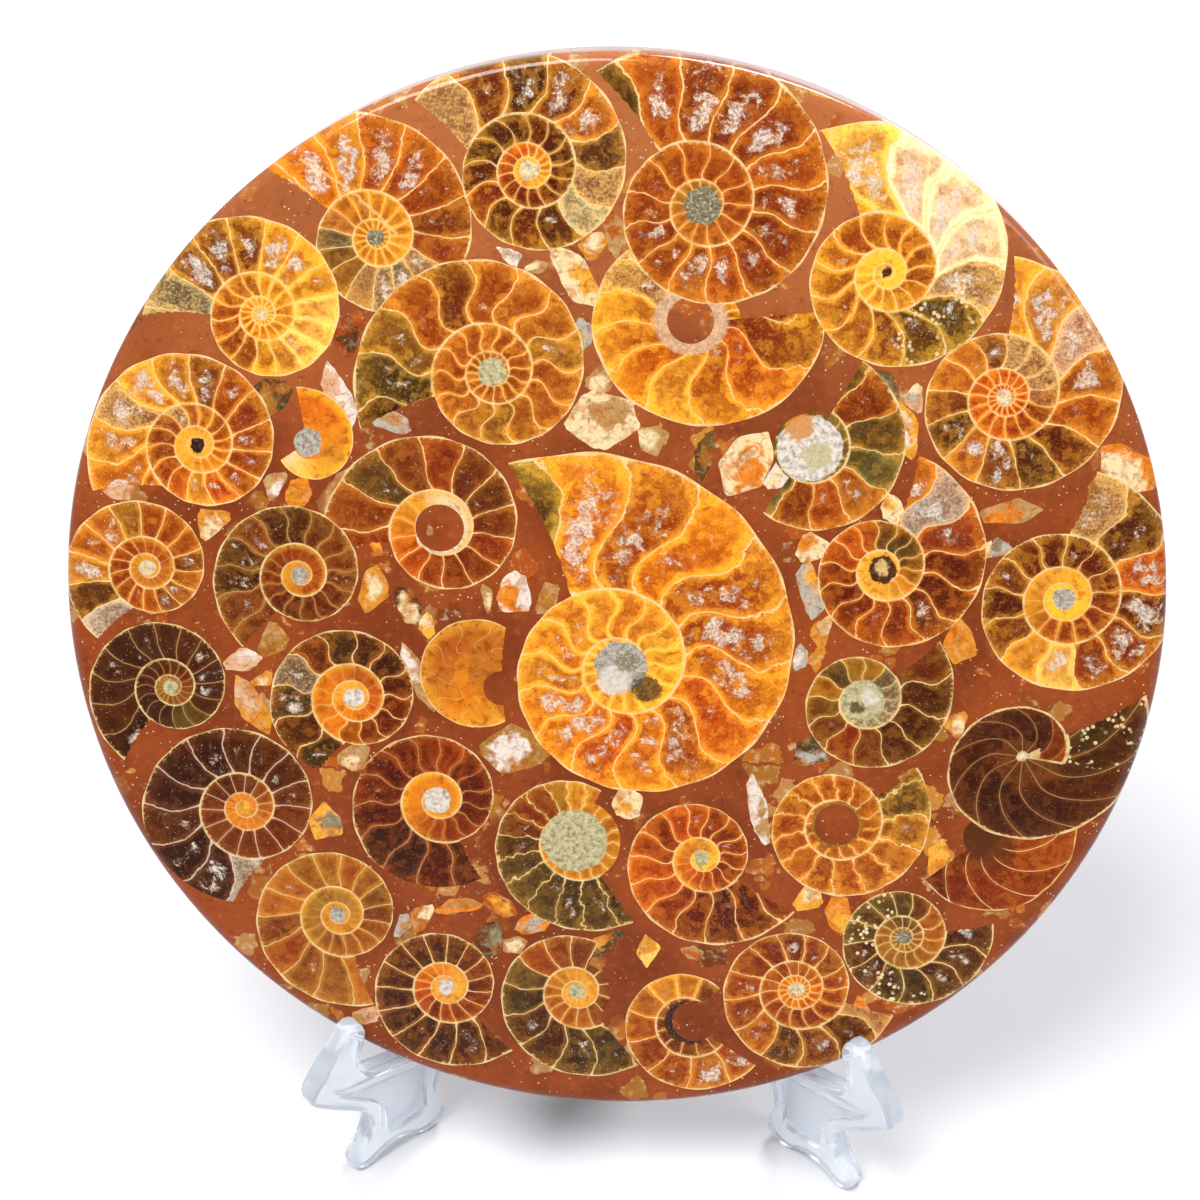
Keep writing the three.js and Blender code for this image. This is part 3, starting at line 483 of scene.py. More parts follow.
             (0.93, "stone"), (0.97, "amber"), (1.1, "honey", 0.4), (1.4, "gold", 0.2), (1.8, "honey")]),
    dict(name="ammonite_open_ring", at=(-23.4, 11.3), radius=16.5, growth=2.35, mouth=195, hole=(0, 0.2, 3.3),
         slot="amber", septa=(13.8, 13.5, 14), first=0.12, arch=(-0.2, 0.05), lean=(0.2, -0.1), sway=0.05,
         glow="amber", tube=(0.98, "gold"), core=(3.45, "cream"), tones=[
             (0, "rust"), (0.06, "russet", 0.3), (0.15, "moss", 0.4), (0.23, "chestnut", 0.3),
             (0.3, "rust", 0.1), (0.36, "chestnut", 0.2), (0.43, "umber", 0.5), (0.5, "chestnut", 0.3),
             (0.6, "rust", 0.2), (0.7, "maroon"), (0.8, "rust"), (0.9, "flame", 0.2), (1, "orange"),
             (1.2, "gold"), (1.3, "cream")]),
    dict(name="ammonite_crescent", at=(-18.3, -9.2), radius=7.9, growth=1, mouth=300, span=240,
         hole=(3.4, -2, 2.5), coil=2.4, slot="amber", septa=(10, 10, 10), sway=0.3, plain=True,
         septa_shown=True, glow="gold", tube=(-1, "gold"), core=(0.5, "amber"), tones=[
             (0, "honey"), (0.15, "orange"), (0.3, "amber"), (0.45, "russet"), (0.6, "amber"), (1, "amber"),
             (1.3, "orange"), (1.5, "amber")]),
    dict(name="ammonite_small_crescent", at=(-41.2, 22.9), radius=7.7, growth=2.2, mouth=100, span=245,
         core_cut=1.8, slot="orange", septa=(10, 12, 12), plain=True, glow="sun", tube=(-1, "sun"),
         core=(2, "ash"), tones=[
             (0, "flame"), (0.2, "orange"), (0.35, "honey"), (0.48, "gold"), (0.58, "lemon"), (0.68, "cream"),
             (1, "orange")]),
    dict(name="nautilus_broken", at=(52.6, -30.8), radius=12.8, growth=1.6, mouth=11, span=150, core_cut=3,
         coil=6, slot="redbrown", septa=(11, 11, 11), first=0.07, bow=(1.6, 2.4), feet=0, plain=True,
         septa_shown=True, glow="amber", core=(0.3, "umber"), shade=(7, 2), tones=[
             (0, "russet"), (0.08, "rust"), (0.2, "rust"), (0.28, "rust"), (0.36, "maroon"), (1, "umber")]),
]
print(len(FOSSILS), "fossils")

# %% [markdown]
# ## What lies between
#
# Between the shells lie broken chips of shell, crystal and stone. Each is a small irregular polygon with a
# centre, a size, a turn, a number of corners, a slot and the tones of its rind and its heart. Those named
# chip_ are nodes of the CAD model; the rest are crumbs too small for it, and they are made here in the same
# way.

# %% The chips and crumbs
CHIPS = [
    ("chip_dark_crystal_left", (-45.7, 29.1), (6, 4.6), 60, 7, "olive", "bog", "ochre"),
    ("chip_white_left", (-37, 29.5), (8.2, 3.6), 112, 8, "crystal", "milk", "peach"),
    ("chip_red_shell", (-35.5, 37.4), (6.4, 3.6), 70, 6, "redbrown", "rust", "umber"),
    ("chip_yellow_top", (-5.6, 46.4), (9, 4.6), 125, 8, "golden", "cream", "gold"),
    ("chip_cream_lump", (-1.9, 27.1), (10, 6.4), 12, 9, "cream", "cream", "tan"),
    ("chip_diamond", (4.8, 24.8), (4.8, 3.8), 150, 5, "cream", "tan", "cream"),
    ("chip_cream_block", (18, 22.4), (9.4, 6.4), 62, 6, "cream", "cream", "orange"),
    ("chip_dark_crescent", (12.1, 23), (6.6, 2.6), 80, 7, "olive", "bog", "moss"),
    ("chip_green", (35.4, 33.1), (6.4, 3.2), 132, 6, "olive", "moss", "stone"),
    ("chip_yellow_crystal", (38.4, 27), (6.8, 3.8), 98, 8, "golden", "gold", "milk"),
    ("chip_pale_crystals", (26.8, 4.4), (7.6, 3.2), 100, 8, "crystal", "ash", "gold"),
    ("chip_orange_left", (-32.4, 3), (6.6, 4), 80, 6, "golden", "honey", "cream"),
    ("chip_white_dome", (-13.1, 2.9), (5.8, 5), 90, 7, "crystal", "milk", "orange"),
    ("chip_orange_bar", (-50, -14.9), (8.6, 3.8), 118, 6, "golden", "honey", "peach"),
    ("chip_yellow_low", (-39.6, -31.8), (6.4, 4.4), 100, 5, "golden", "gold", "stone"),
    ("chip_brown_crystals", (-13, -20.2), (8.4, 7), 35, 9, "amber", "ochre", "milk"),
    ("chip_shell_sliver", (-26.7, -9.2), (10.4, 2.6), 115, 6, "crystal", "tan", "milk"),
    ("chip_dark_crystal_low", (27.9, -19.2), (5.6, 4.4), 20, 6, "olive", "bog", "ash"),
    ("chip_orange_low", (33.1, -44), (6.2, 3.6), 105, 6, "orange", "orange", "gold"),
    ("chip_orange_wedge", (47.5, -2.1), (7.8, 4), 110, 5, "golden", "honey", "orange"),
    ("chip_rim_right", (67.6, 22.8), (9.4, 6), 150, 6, "cream", "orange", "cream"),
    ("crumb_leaf", (-14.3, 48.8), (4.6, 1.8), 155, 5, "crystal", "milk", "ash"),
    ("crumb_shell_top", (-0.8, 52.9), (7, 2.8), 105, 6, "amber", "tan", "russet"),
    ("crumb_grey_top", (-4.4, 38.4), (4, 2.2), 95, 6, "crystal", "ash", "tan"),
    ("crumb_tan", (-1.6, 32.7), (4.6, 3.6), 60, 7, "cream", "tan", "cream"),
    ("crumb_pale_left", (-29.6, 25.9), (5.6, 2.8), 160, 6, "crystal", "ash", "tan"),
    ("crumb_pebble", (39.5, 30.9), (3.8, 2.4), 95, 6, "cream", "cream", "ash"),
    ("crumb_cream_mid", (26.6, 10.4), (4.6, 3.8), 20, 6, "cream", "cream", "orange"),
    ("crumb_shards", (28.8, -1.6), (5.4, 2.6), 80, 6, "golden", "honey", "cream"),
    ("crumb_pale_upper", (-45.5, 17.2), (4.6, 2.8), 60, 6, "crystal", "tan", "milk"),
    ("crumb_dark_mid", (-27.6, 0.6), (5.8, 3.4), 115, 6, "darkbrown", "umber", "cream"),
    ("crumb_yellow_mid", (-25.3, -2.3), (3.6, 2.2), 95, 6, "golden", "gold", "cream"),
    ("crumb_sliver_mid", (-16.9, 1.5), (4, 1.8), 95, 5, "amber", "tan", "cream"),
    ("crumb_pale_mid", (-8.6, 1.7), (5.2, 2.8), 80, 7, "amber", "tan", "ochre"),
    ("crumb_pink_left", (-50.5, -8.2), (5, 3.4), 20, 7, "crystal", "peach", "milk"),
    ("crumb_cream_low", (2.7, -28), (4.4, 3.8), 70, 7, "cream", "cream", "gold"),
    ("crumb_white_low", (21, -28.3), (9.4, 2.4), 100, 8, "crystal", "milk", "tan"),
    ("crumb_yellow_low", (28.8, -41.2), (4.8, 3.6), 60, 6, "golden", "gold", "cream"),
    ("crumb_grey_right", (51.7, 11.1), (3, 2.6), 20, 6, "crystal", "ash", "stone"),
    ("crumb_tan_right", (52.6, 15.8), (8, 3.4), 10, 5, "cream", "tan", "orange"),
    ("crumb_low_a", (-26, -45.8), (4.8, 3), 60, 6, "amber", "amber", "cream"),
    ("crumb_low_b", (-20.4, -44.3), (6.8, 2.4), 10, 6, "orange", "orange", "tan"),
    ("crumb_low_c", (-15, -43.6), (5.4, 3), 150, 6, "amber", "russet", "gold"),
    ("crumb_low_d", (-16.8, -49.6), (5.4, 3.8), 60, 7, "darkbrown", "umber", "stone"),
    ("crumb_low_e", (-10.6, -46.6), (5.4, 2.8), 20, 6, "orange", "orange", "ash"),
    ("crumb_low_f", (0.2, -49), (6, 3), 30, 7, "olive", "bog", "honey"),
    ("crumb_low_g", (6, -50.2), (5.2, 3.4), 95, 4, "golden", "lemon", "honey"),
    ("crumb_yellow_right", (46.4, -34.6), (5.6, 3), 80, 5, "golden", "gold", "orange"),
    ("crumb_pink_low", (-34.2, -62.2), (4.4, 2.6), 20, 6, "crystal", "peach", "tan"),
    ("crumb_pink_rim", (-67.4, 16.2), (5.6, 4), 130, 6, "orange", "peach", "orange"),
    ("crumb_shard_left", (-36.9, 16.6), (7, 3), 60, 7, "amber", "tan", "russet"),
    ("crumb_bright_left", (-54.8, 11.2), (5.2, 3.8), 45, 6, "golden", "honey", "cream"),
    ("crumb_small_top", (-3.2, 50.2), (4, 3.2), 60, 6, "golden", "honey", "cream"),
    ("crumb_tan_top", (-10.9, 47.2), (3.2, 1.8), 20, 5, "cream", "tan", "cream"),
    ("crumb_red_mid", (-32.3, 9.2), (3.4, 2), 110, 5, "orange", "flame", "gold"),
    ("crumb_gold_right", (49.9, 10.9), (3, 2), 70, 5, "golden", "gold", "cream"),
    ("crumb_ash_right", (25.8, -5.4), (3.6, 2), 80, 6, "crystal", "ash", "milk"),
    ("crumb_low_h", (12.4, -50.3), (3.6, 2), 160, 5, "amber", "tan", "russet"),
    ("crumb_low_i", (-28.8, -47.8), (3.8, 2.6), 60, 5, "crystal", "ash", "tan"),
    ("crumb_left_gap", (-48.2, -11.2), (3.2, 2.4), 20, 5, "golden", "honey", "cream"),
    ("crumb_low_j", (22.6, -31.4), (3.6, 2), 80, 5, "amber", "ochre", "cream"),
    ("crumb_low_k", (36.8, -57.8), (4.4, 2.6), 120, 6, "cream", "tan", "orange"),
    ("crumb_low_l", (-12.8, -49.8), (3.6, 2.8), 10, 5, "cream", "tan", "cream"),
    ("crumb_white_mid", (21.8, 19.8), (4, 2.8), 60, 6, "crystal", "milk", "cream"),
    ("crumb_cream_right", (37.2, 16.2), (4.2, 3), 110, 6, "cream", "cream", "lemon"),
    ("crumb_honey_right", (47.8, -14.2), (4.2, 3), 80, 6, "golden", "honey", "cream"),
    ("crumb_tan_left", (-35.8, -22.2), (4.8, 3.6), 30, 6, "amber", "tan", "cream"),
    ("crumb_brown_left", (-46.2, -5.2), (5.2, 4), 70, 6, "amber", "ochre", "tan"),
    ("crumb_orange_left", (-42.8, 15.8), (4.4, 3.2), 60, 6, "orange", "orange", "honey"),
]
print(len(CHIPS), "chips and crumbs")

# %% [markdown]
# ## From a drawing to a solid
#
# A shell slice could be lofted or sculpted, but it is really a flat outline with a depth. So each one starts
# as a capped circle whose vertices are pulled onto the spiral wall. The cap is extruded through the stone,
# and the whole blank is set in the face with the face matrix.

# %% Outlines
def polar(radius, degrees):
    return Vector((radius * math.cos(math.radians(degrees)), radius * math.sin(math.radians(degrees))))


def wall_radius(fossil, behind):
    """Distance from the centre to the outer wall, so many degrees behind the mouth."""
    swell = 1 + 0.006 * math.sin(math.radians(behind) * fossil["septa"][0] + fossil["at"][0])
    return min(fossil.get("limit", 99), fossil["radius"] * fossil["growth"] ** (-behind / 360) * swell)


def coil_outline(fossil, count):
    span = fossil.get("span", 360)
    reach = span - fossil.get("slant", 0) if span == 360 else span
    inner = 0 if span == 360 or "core_cut" not in fossil else count // 6
    outer = count - inner
    points = []
    for i in range(outer):
        behind = reach * (1 - i / (outer - 1))
        points.append(polar(wall_radius(fossil, behind), fossil["mouth"] - behind))
    for i in range(inner):
        points.append(polar(fossil["core_cut"], fossil["mouth"] + (360 - span) * i / (inner - 1)))
    if not inner:
        tip, root = points[-1], points[0]
        for i in range(1, 16):
            chipped = 0.13 * math.sin(2.9 * i + fossil["at"][1]) + 0.08 * math.sin(6.1 * i)
            bulge = 0.05 * (root - tip).length * math.sin(math.pi * i / 16)
            points.append(tip.lerp(root, i / 16) + (root - tip).orthogonal().normalized() * (chipped + bulge))
    turn = Matrix.Rotation(math.radians(fossil.get("squash_turn", 0)), 2)
    squash = Matrix(((1, 0), (0, fossil.get("squash", 1))))
    return [turn @ squash @ turn.inverted() @ point + Vector(fossil["at"]) for point in points]


CHIP_SPREAD = 0.56


def chip_outline(at, size, turn, corners):
    """A broken chip: an ellipse whose corners wander in and out in a fixed way."""
    points = []
    for i in range(corners):
        wander = CHIP_SPREAD * (1 + 0.17 * math.sin(5 * i + at[0]))
        point = polar(wander, 360 * (i + 0.3 * math.sin(3 * i + at[1])) / corners)
        point = Vector((point.x * size[0], point.y * size[1]))
        points.append(Matrix.Rotation(math.radians(turn), 2) @ point + Vector(at))
    broken = []
    for i, point in enumerate(points):
        after = points[(i + 1) % corners]
        for k in range(4):
            side = (after - point).orthogonal().normalized()
            broken.append(point.lerp(after, k / 4) + side * 0.09 * math.sin(2.3 * (4 * i + k) + at[0]))
    return broken


# %% Blanks and booleans
def new_object(name, bm):
    mesh = bpy.data.meshes.new(name)
    bm.to_mesh(mesh)
    bm.free()
    made = bpy.data.objects.new(name, mesh)
    bpy.context.scene.collection.objects.link(made)
    return made


def outline_face(points, soften=0):
    """A flat face with this outline. Softening rounds its corners."""
    bm = bmesh.new()
    bmesh.ops.create_circle(bm, cap_ends=False, radius=1, segments=len(points))
    for vertex, point in zip(bm.verts, points):
        vertex.co = (point[0], point[1], 0)
    if soften:
        bmesh.ops.subdivide_edges(bm, edges=bm.edges[:], cuts=soften)
        for _ in range(soften):
            bmesh.ops.smooth_vert(bm, verts=bm.verts[:], factor=0.5, use_axis_x=True, use_axis_y=True)
    bmesh.ops.contextual_create(bm, geom=bm.edges[:])
    return bm


def raise_face(bm, bottom, top):
    bmesh.ops.translate(bm, verts=bm.verts[:], vec=(0, 0, bottom))
    raised = bmesh.ops.extrude_face_region(bm, geom=bm.faces[:])["geom"]
    corners = [item for item in raised if isinstance(item, bmesh.types.BMVert)]
    bmesh.ops.translate(bm, verts=corners, vec=(0, 0, top - bottom))
    bmesh.ops.recalc_face_normals(bm, faces=bm.faces[:])
    return bm


def blank(name, points, bottom, top, soften=0):
    bm = raise_face(outline_face(points, soften), bottom, top)
    bm.transform(FACE)
    return new_object(name, bm)


def carve(target, tools, operation):
    """Cuts with, adds or keeps what is shared with each tool, and leaves a plain mesh."""
    for tool in tools:
        cut = target.modifiers.new("cut", "BOOLEAN")
        cut.solver = "MANIFOLD"
        cut.operation = operation
        cut.object = tool
    graph = bpy.context.evaluated_depsgraph_get()
    mesh = bpy.data.meshes.new_from_object(target.evaluated_get(graph))
    target.modifiers.clear()
    spare = target.data
    target.data = mesh
    bpy.data.meshes.remove(spare)


def copy_of(source, name):
    made = bpy.data.objects.new(name, source.data.copy())
    bpy.context.scene.collection.objects.link(made)
    return made


def discard(objects):
    for item in objects:
        bpy.data.objects.remove(item)


def tidy_edges(piece, crease=35, flat=None):
    """Smooth shading, with edges sharper than the crease kept sharp, as are those of the flat face."""
    bm = bmesh.new()
    bm.from_mesh(piece.data)
    bmesh.ops.remove_doubles(bm, verts=bm.verts[:], dist=1e-6)
    bmesh.ops.dissolve_degenerate(bm, edges=bm.edges[:], dist=1e-6)
    for face in bm.faces:
        face.smooth = True
    for edge in bm.edges:
        sharp = edge.calc_face_angle(0) > math.radians(crease)
        if flat:
            sharp = sharp or any(abs(face.normal.dot(flat)) > 0.999 for face in edge.link_faces)
        edge.smooth = not sharp
    bm.to_mesh(piece.data)
    bm.free()
    piece.data.validate()


def finish_piece(piece, finish, nodes=()):
    piece.data.materials.clear()
    piece.data.materials.append(finish.material)
    for polygon in piece.data.polygons:
        polygon.material_index = 0
    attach(piece, "root")
    if nodes:
        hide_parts(*nodes)


# %% [markdown]
# ## The slab
#
# The disc is a circle extruded by its thickness. Its front edge is ground to a soft round of 1.5 mm and its
# back edge to a small one, which two bevels give exactly. A slightly larger copy is kept as a gauge for the
# seats in the easel.

# %% Disc blanks
def disc(name, radius, top, bottom, segments=240):
    bm = bmesh.new()
    bmesh.ops.create_circle(bm, cap_ends=True, radius=radius, segments=segments)
    raise_face(bm, bottom, top)
    for height, width, steps in ((top, EDGE_ROUND, 6), (bottom, 0.6, 2)):
        rim = [edge for edge in bm.edges if all(abs(vertex.co.z - height) < 1e-4 for vertex in edge.verts)]
        bmesh.ops.bevel(bm, geom=rim, offset=width, affect="EDGES", segments=steps, profile=0.5, material=-1)
    bm.transform(FACE)
    return new_object(name, bm)


slab = disc("slab_blank", SLAB_RADIUS, 0, -SLAB_THICKNESS)
slab_gauge = disc("slab_gauge", SLAB_RADIUS + 0.3, 0.3, -SLAB_THICKNESS - 0.3, 120)
print("slab faces:", len(slab.data.polygons))

# %% [markdown]
# ## Setting the pieces
#
# Every piece has a blank that stands a little proud of the face. A piece keeps what earlier pieces leave of
# its blank, inside the slab, and the stone is what no blank takes. So neighbours meet along one shared edge
# with no gap, as they do when the whole slab is ground and polished at once.

# %% Cut the pieces and their pockets
PROUD = 1.5
CHIP_DEPTH = 3
OUTLINE_STEPS = 150
NORMAL = (FACE.to_3x3() @ Vector((0, 0, 1))).normalized()
set_pieces = {}
blanks = []


def reach_of(points):
    across, up = [point[0] for point in points], [point[1] for point in points]
    return min(across), max(across), min(up), max(up)


def near(a, b):
    return a[0] < b[1] and b[0] < a[1] and a[2] < b[3] and b[2] < a[3]


def set_in_face(name, points, depth, hole=None, soften=0):
    tool = blank(name + "_blank", points, -depth, PROUD, soften)
    if hole:
        ring = [Vector(hole[:2]) + polar(hole[2], 360 * i / 40) for i in range(40)]
        post = blank(name + "_post", ring, -depth - 1, PROUD + 1)
        carve(tool, [post], "DIFFERENCE")
        discard([post])
    piece = copy_of(tool, name)
    extent = reach_of(points)
    earlier = [other for other, place in blanks if near(extent, place)]
    carve(piece, earlier, "DIFFERENCE")
    carve(piece, [slab], "INTERSECT")
    tidy_edges(piece, flat=NORMAL)
    blanks.append((tool, extent))
    set_pieces[name] = piece


for fossil in FOSSILS:
    hole = None
    if "hole" in fossil:
        u, v, size = fossil["hole"]
        hole = (fossil["at"][0] + u, fossil["at"][1] + v, size)
    depth = 3.2 + 0.11 * fossil["radius"]
    set_in_face(fossil["name"] + "_slice", coil_outline(fossil, OUTLINE_STEPS), depth, hole)
for name, at, size, turn, corners, *_ in CHIPS:
    set_in_face(name + "_piece", chip_outline(at, size, turn, corners), CHIP_DEPTH, soften=2)

matrix = copy_of(slab, "matrix_stone")
carve(matrix, [tool for tool, _ in blanks], "DIFFERENCE")
tidy_edges(matrix, flat=NORMAL)
discard([tool for tool, _ in blanks] + [slab])
print("pieces set:", len(set_pieces), "stone faces:", len(matrix.data.polygons))
print("fewest faces on a piece:", min(len(piece.data.polygons) for piece in set_pieces.values()))

# %% [markdown]
# ## The pattern of a sliced shell
#
# A sliced ammonite shows a spiral outer wall and, between its turns, chambers parted by thin walls called
# septa. Both can be read straight from a point's place. The logarithm of its distance from the centre says
# how many walls lie outside it, and its angle says how far behind the mouth it is. Whole parts of those
# numbers name the turn and the chamber, and their remainders say where in them the point is. Distances are
# turned back to millimetres, so that walls keep one thickness on large and small turns.

# %% Shell coordinates
FAR = 9


def shell_coordinates(finish, fossil, seed):
    """Where a point lies in its shell. The seed moves each shell to its own stretch of the noises."""
    drawing = finish.drawing(*fossil["at"])
    stone = finish.node("ShaderNodeVectorMath", {"operation": "ADD"}, {
        0: drawing, 1: (31.7 * seed, 17.3 * seed, 0)})
    u, v, _ = finish.split(drawing)
    turn = math.radians(fossil.get("squash_turn", 0))
    if "squash" in fossil:
        along = u * math.cos(turn) + v * math.sin(turn)
        v = (v * math.cos(turn) - u * math.sin(turn)) / fossil["squash"]
        u = along
    wobble = finish.noise(stone, 0.2, 1) - 0.5
    growth = fossil.get("coil", fossil["growth"])
    shrink = math.log(fossil["growth"]) / math.log(growth)
    radius = ((u * u + v * v) ** 0.5).most(0.02)
    angle = v.math("ARCTAN2", u)
    behind = ((math.radians(fossil["mouth"]) - turn - angle) / math.tau).fract()
    inward = (fossil["radius"] / radius).math("LOGARITHM", growth) - behind * shrink + wobble * 0.05
    whorl = inward.floor()
    if "closed" in fossil:
        shut = behind.step(fossil["closed"], fossil["closed"] + 0.002)
        seam = (behind - fossil["closed"]).math("ABSOLUTE") * radius * (math.tau * 1.7)
        seam = seam + (1 - whorl.least(1)) * FAR
        whorl = whorl.least(1) * (1 - shut)
    across = inward - whorl
    outside = radius * ((across * math.log(growth)).math("EXPONENT") - 1)
    inside = radius * (1 - ((across - 1) * math.log(growth)).math("EXPONENT"))
    if "closed" in fossil:
        inside = inside.most(shut * FAR).least(seam)
    return SimpleNamespace(stone=stone, u=u, v=v, radius=radius, back=behind + whorl, across=across,
                           outside=outside, inside=inside, deeper=whorl.step(0.4, 0.6))


# %% [markdown]
# ## The walls between chambers
#
# A septum is a bent wall, and where it meets the shell it is frilled. It could be modelled as a ridge, but
# on a ground face it is only a line. So the chambers are counted from the mouth, the count is bent by how
# far across the turn a point lies, and a septum runs wherever the bent count is whole. Its remainder gives
# the distance to that line, and the whole number names the chamber, so each can have its own tone.

# %% Count the chambers
def count_chambers(fossil, back):
    """Chambers between the mouth and a point, and how many fill a turn there. Their crowding may change."""
    mouth, middle, heart = fossil["septa"]
    first = back.least(1)
    later = (back - 1).most(0)
    outer = first * (mouth + first * ((middle - mouth) / 2))
    inner = later * (middle + later * ((heart - middle) / 2))
    per_turn = mouth + first * (middle - mouth) + later * (heart - middle)
    return outer + inner - mouth * fossil.get("first", 0), per_turn


def bend_of_septa(finish, fossil, here):
    """How far a septum is bent, counted in chambers, at each place across the turn."""
    stone, back, across = here.stone, here.back, here.across
    warp = finish.noise(stone, 0.3, 3, 0.6) - 0.5
    if "bow" in fossil:
        reach, rise = fossil["bow"]
        return (1 - (1 - across).most(0) ** rise) * reach + warp * 0.05
    share = back.least(1)
    arch, lean = fossil.get("arch", (0, 0)), fossil.get("lean", (0, 0))
    bend = (across * math.pi).sin() * (arch[0] + share * (arch[1] - arch[0]))
    bend = bend + (across - 0.5) * (lean[0] + share * (lean[1] - lean[0])) + warp * 0.3
    if "sway" in fossil:
        bend = bend + (across * math.tau + warp * 0.8).sin() * fossil["sway"]
    bend = bend * (1 - (back - 1).step(0, 0.6) * 0.6)
    if "lobes" in fossil:
        ruffle = finish.noise(stone, 0.55, 2) - 0.5
        bend = bend + ((across * 12 + warp * 14).sin() * 0.2 + ruffle * 2.2) * fossil["lobes"]
    return bend


def find_chamber(finish, fossil, here):
    """Adds millimetres to the nearest septum, the chamber's number and middle, and an oval drawn in it."""
    count, per_turn = count_chambers(fossil, here.back)
    chamber = count - bend_of_septa(finish, fossil, here)
    here.number = chamber.floor()
    part = chamber - here.number
    here.middle = here.back + (here.number + 0.5 - count) / per_turn
    here.oval = (part - 0.5) * (part - 0.5) * 4 + (here.across - 0.5) * (here.across - 0.5) * 4
    here.to_septum = part.least(1 - part) * here.radius * (math.tau / per_turn)


# %% Masks of the walls
def flare(share, tightness):
    """1 at a wall and quickly less away from it. The distance is given as a share of the radius."""
    return (share * -tightness).math("EXPONENT")


def wall_masks(fossil, here):
    """Septa widen into feet where they meet the spiral wall. The halo is how far they let light through."""
    radius, inside, outside = here.radius, here.inside, here.outside
    inner, outer = inside / radius, outside / radius
    feet = fossil.get("feet", 1)
    foot = radius * (flare(inner, 14) * (0.024 * feet) + flare(outer, 22) * 0.008)
    here.halo = radius * (flare(inner, 8) * (0.06 * feet) + flare(outer, 11) * 0.05)
    here.septum = 1 - ((here.to_septum - foot) / (0.04 + radius * 0.0045)).step(0.5, 1.5)
    here.drawn = (1 - here.deeper) * radius.step(2.8, 4) if "septa_shown" in fossil else here.chambered
    here.to_wall = outside.least(inside) if here.chambered else outside + here.deeper * FAR
    rim = fossil.get("wall", 0.09) * (0.4 + here.fray * 1.5) + radius * 0.007
    here.wall = 1 - (here.to_wall / rim).step(0.6, 1.4)


# %% [markdown]
# ## Polished calcite
#
# Each chamber is filled with calcite of one tone, deeper in its middle and glowing where the stone is thin
# beside a wall. Milky crystals grew in some, grains fill others, and mud fills the mouth of a few. The tone
# comes from a ramp read at the chamber's middle. Soft noise clouds it, fine noise makes it grainy, and
# flakes from Voronoi cells catch the light. Everything known about a point is kept in one namespace called
# here, so that each step below can stay short.

# %% Textures and tones
GRAINY = ("stone", "ash", "tan", "cream", "peach", "milk", "pale")
TURNS_SHOWN = 3


def stone_textures(finish, here):
    """From coarse to fine: clouds, mottling, frayed edges, grit, and flakes with a tilt each."""
    here.cloud = finish.noise(here.stone, 0.22, 3, 0.55, 0.4)
    here.mottle = finish.noise(here.stone, 0.6, 5, 0.62, 0.3)
    here.fray = finish.noise(here.stone, 1.6, 4, 0.7)
    here.grit = finish.noise(here.stone, 2.4, 4, 0.7, 0.3)
    bent = finish.bend(here.stone, 1.1, 1.7, 4, 0.7)
    here.flake, here.tilt, _ = finish.split(finish.cells(bent, 0.85, output="Color"))


def chamber_tones(finish, fossil, here, seed):
    """Each chamber's tone, how much crystal it holds and whether grains fill it."""
    here.stops = [(place / TURNS_SHOWN, *rest) for place, *rest in fossil["tones"]]
    tone, here.sparkle = finish.ramp(here.middle / TURNS_SHOWN, here.stops)
    grains = [(place, "white" if name in GRAINY else "black") for place, name, *_ in here.stops]
    here.grainy = finish.split(finish.ramp(here.middle / TURNS_SHOWN, grains)[0])[0]
    luck = finish.chance(here.number + seed * 50)
    here.tone = finish.grade(tone, 0.92 + luck * 0.22)
    here.glow = fossil["glow"]
    here.deep = finish.deepen(here.tone)
    here.bright = finish.mix(0.5, finish.grade(here.tone, 1.3), here.glow)


# %% Calcite in a chamber
def chamber_body(finish, here):
    """Deep in the middle, mottled, and glowing beside the walls and in the corners."""
    grit, mottle = here.grit, here.mottle
    size = 0.1 + here.radius * 0.045
    heart = (here.to_septum.least(here.to_wall * 1.2) / size).step(0.3, 1.8)
    colour = finish.mix((heart * 0.55 + here.cloud.step(0.4, 0.62) * 0.35) * heart, here.tone, here.deep)
    colour = finish.mix(mottle.step(0.48, 0.38) * 0.38, colour, finish.deepen(colour))
    colour = finish.mix(mottle.step(0.52, 0.61) * 0.3, colour, here.bright)
    colour = finish.mix(here.flake.step(0.62, 0.95) * 0.4, colour, here.bright)
    colour = finish.mix(here.flake.step(0.38, 0.05) * 0.5, colour, finish.deepen(colour))
    near = ((here.halo - here.to_septum) / size + (here.cloud - 0.5) * 4 + 0.75).step(-0.35, 0.75)
    corner = (here.oval + (mottle - 0.5) * 1.4).step(0.85, 1.4)
    edge = here.across.step(0.28, 0.0) * 0.5
    lit = near.most(corner).most(edge) * (0.35 + mottle.step(0.36, 0.6) * 0.35 + here.flake * 0.25)
    shine = finish.mix(0.45, here.glow, finish.grade(here.tone, 1.6))
    colour = finish.mix(lit * here.chambered, colour, shine)
    colour = finish.mix(grit.step(0.52, 0.66) * 0.3, colour, here.bright)
    return finish.mix(grit.step(0.48, 0.36) * 0.45, colour, here.deep)


# %% [markdown]
# ## Crystals and smooth turns
#
# Water that seeped through the mud left milky crystals and frost in some chambers, loose cream specks, and
# beads of pyrite in a few. In the inner turns the walls have often dissolved, so one tone runs on along the
# coil. Modelled grains would be far too many, so noise says where each kind lies and how thickly, and a mix
# node lays it over the calcite. The order of the mixes is the order in which the stone filled up.

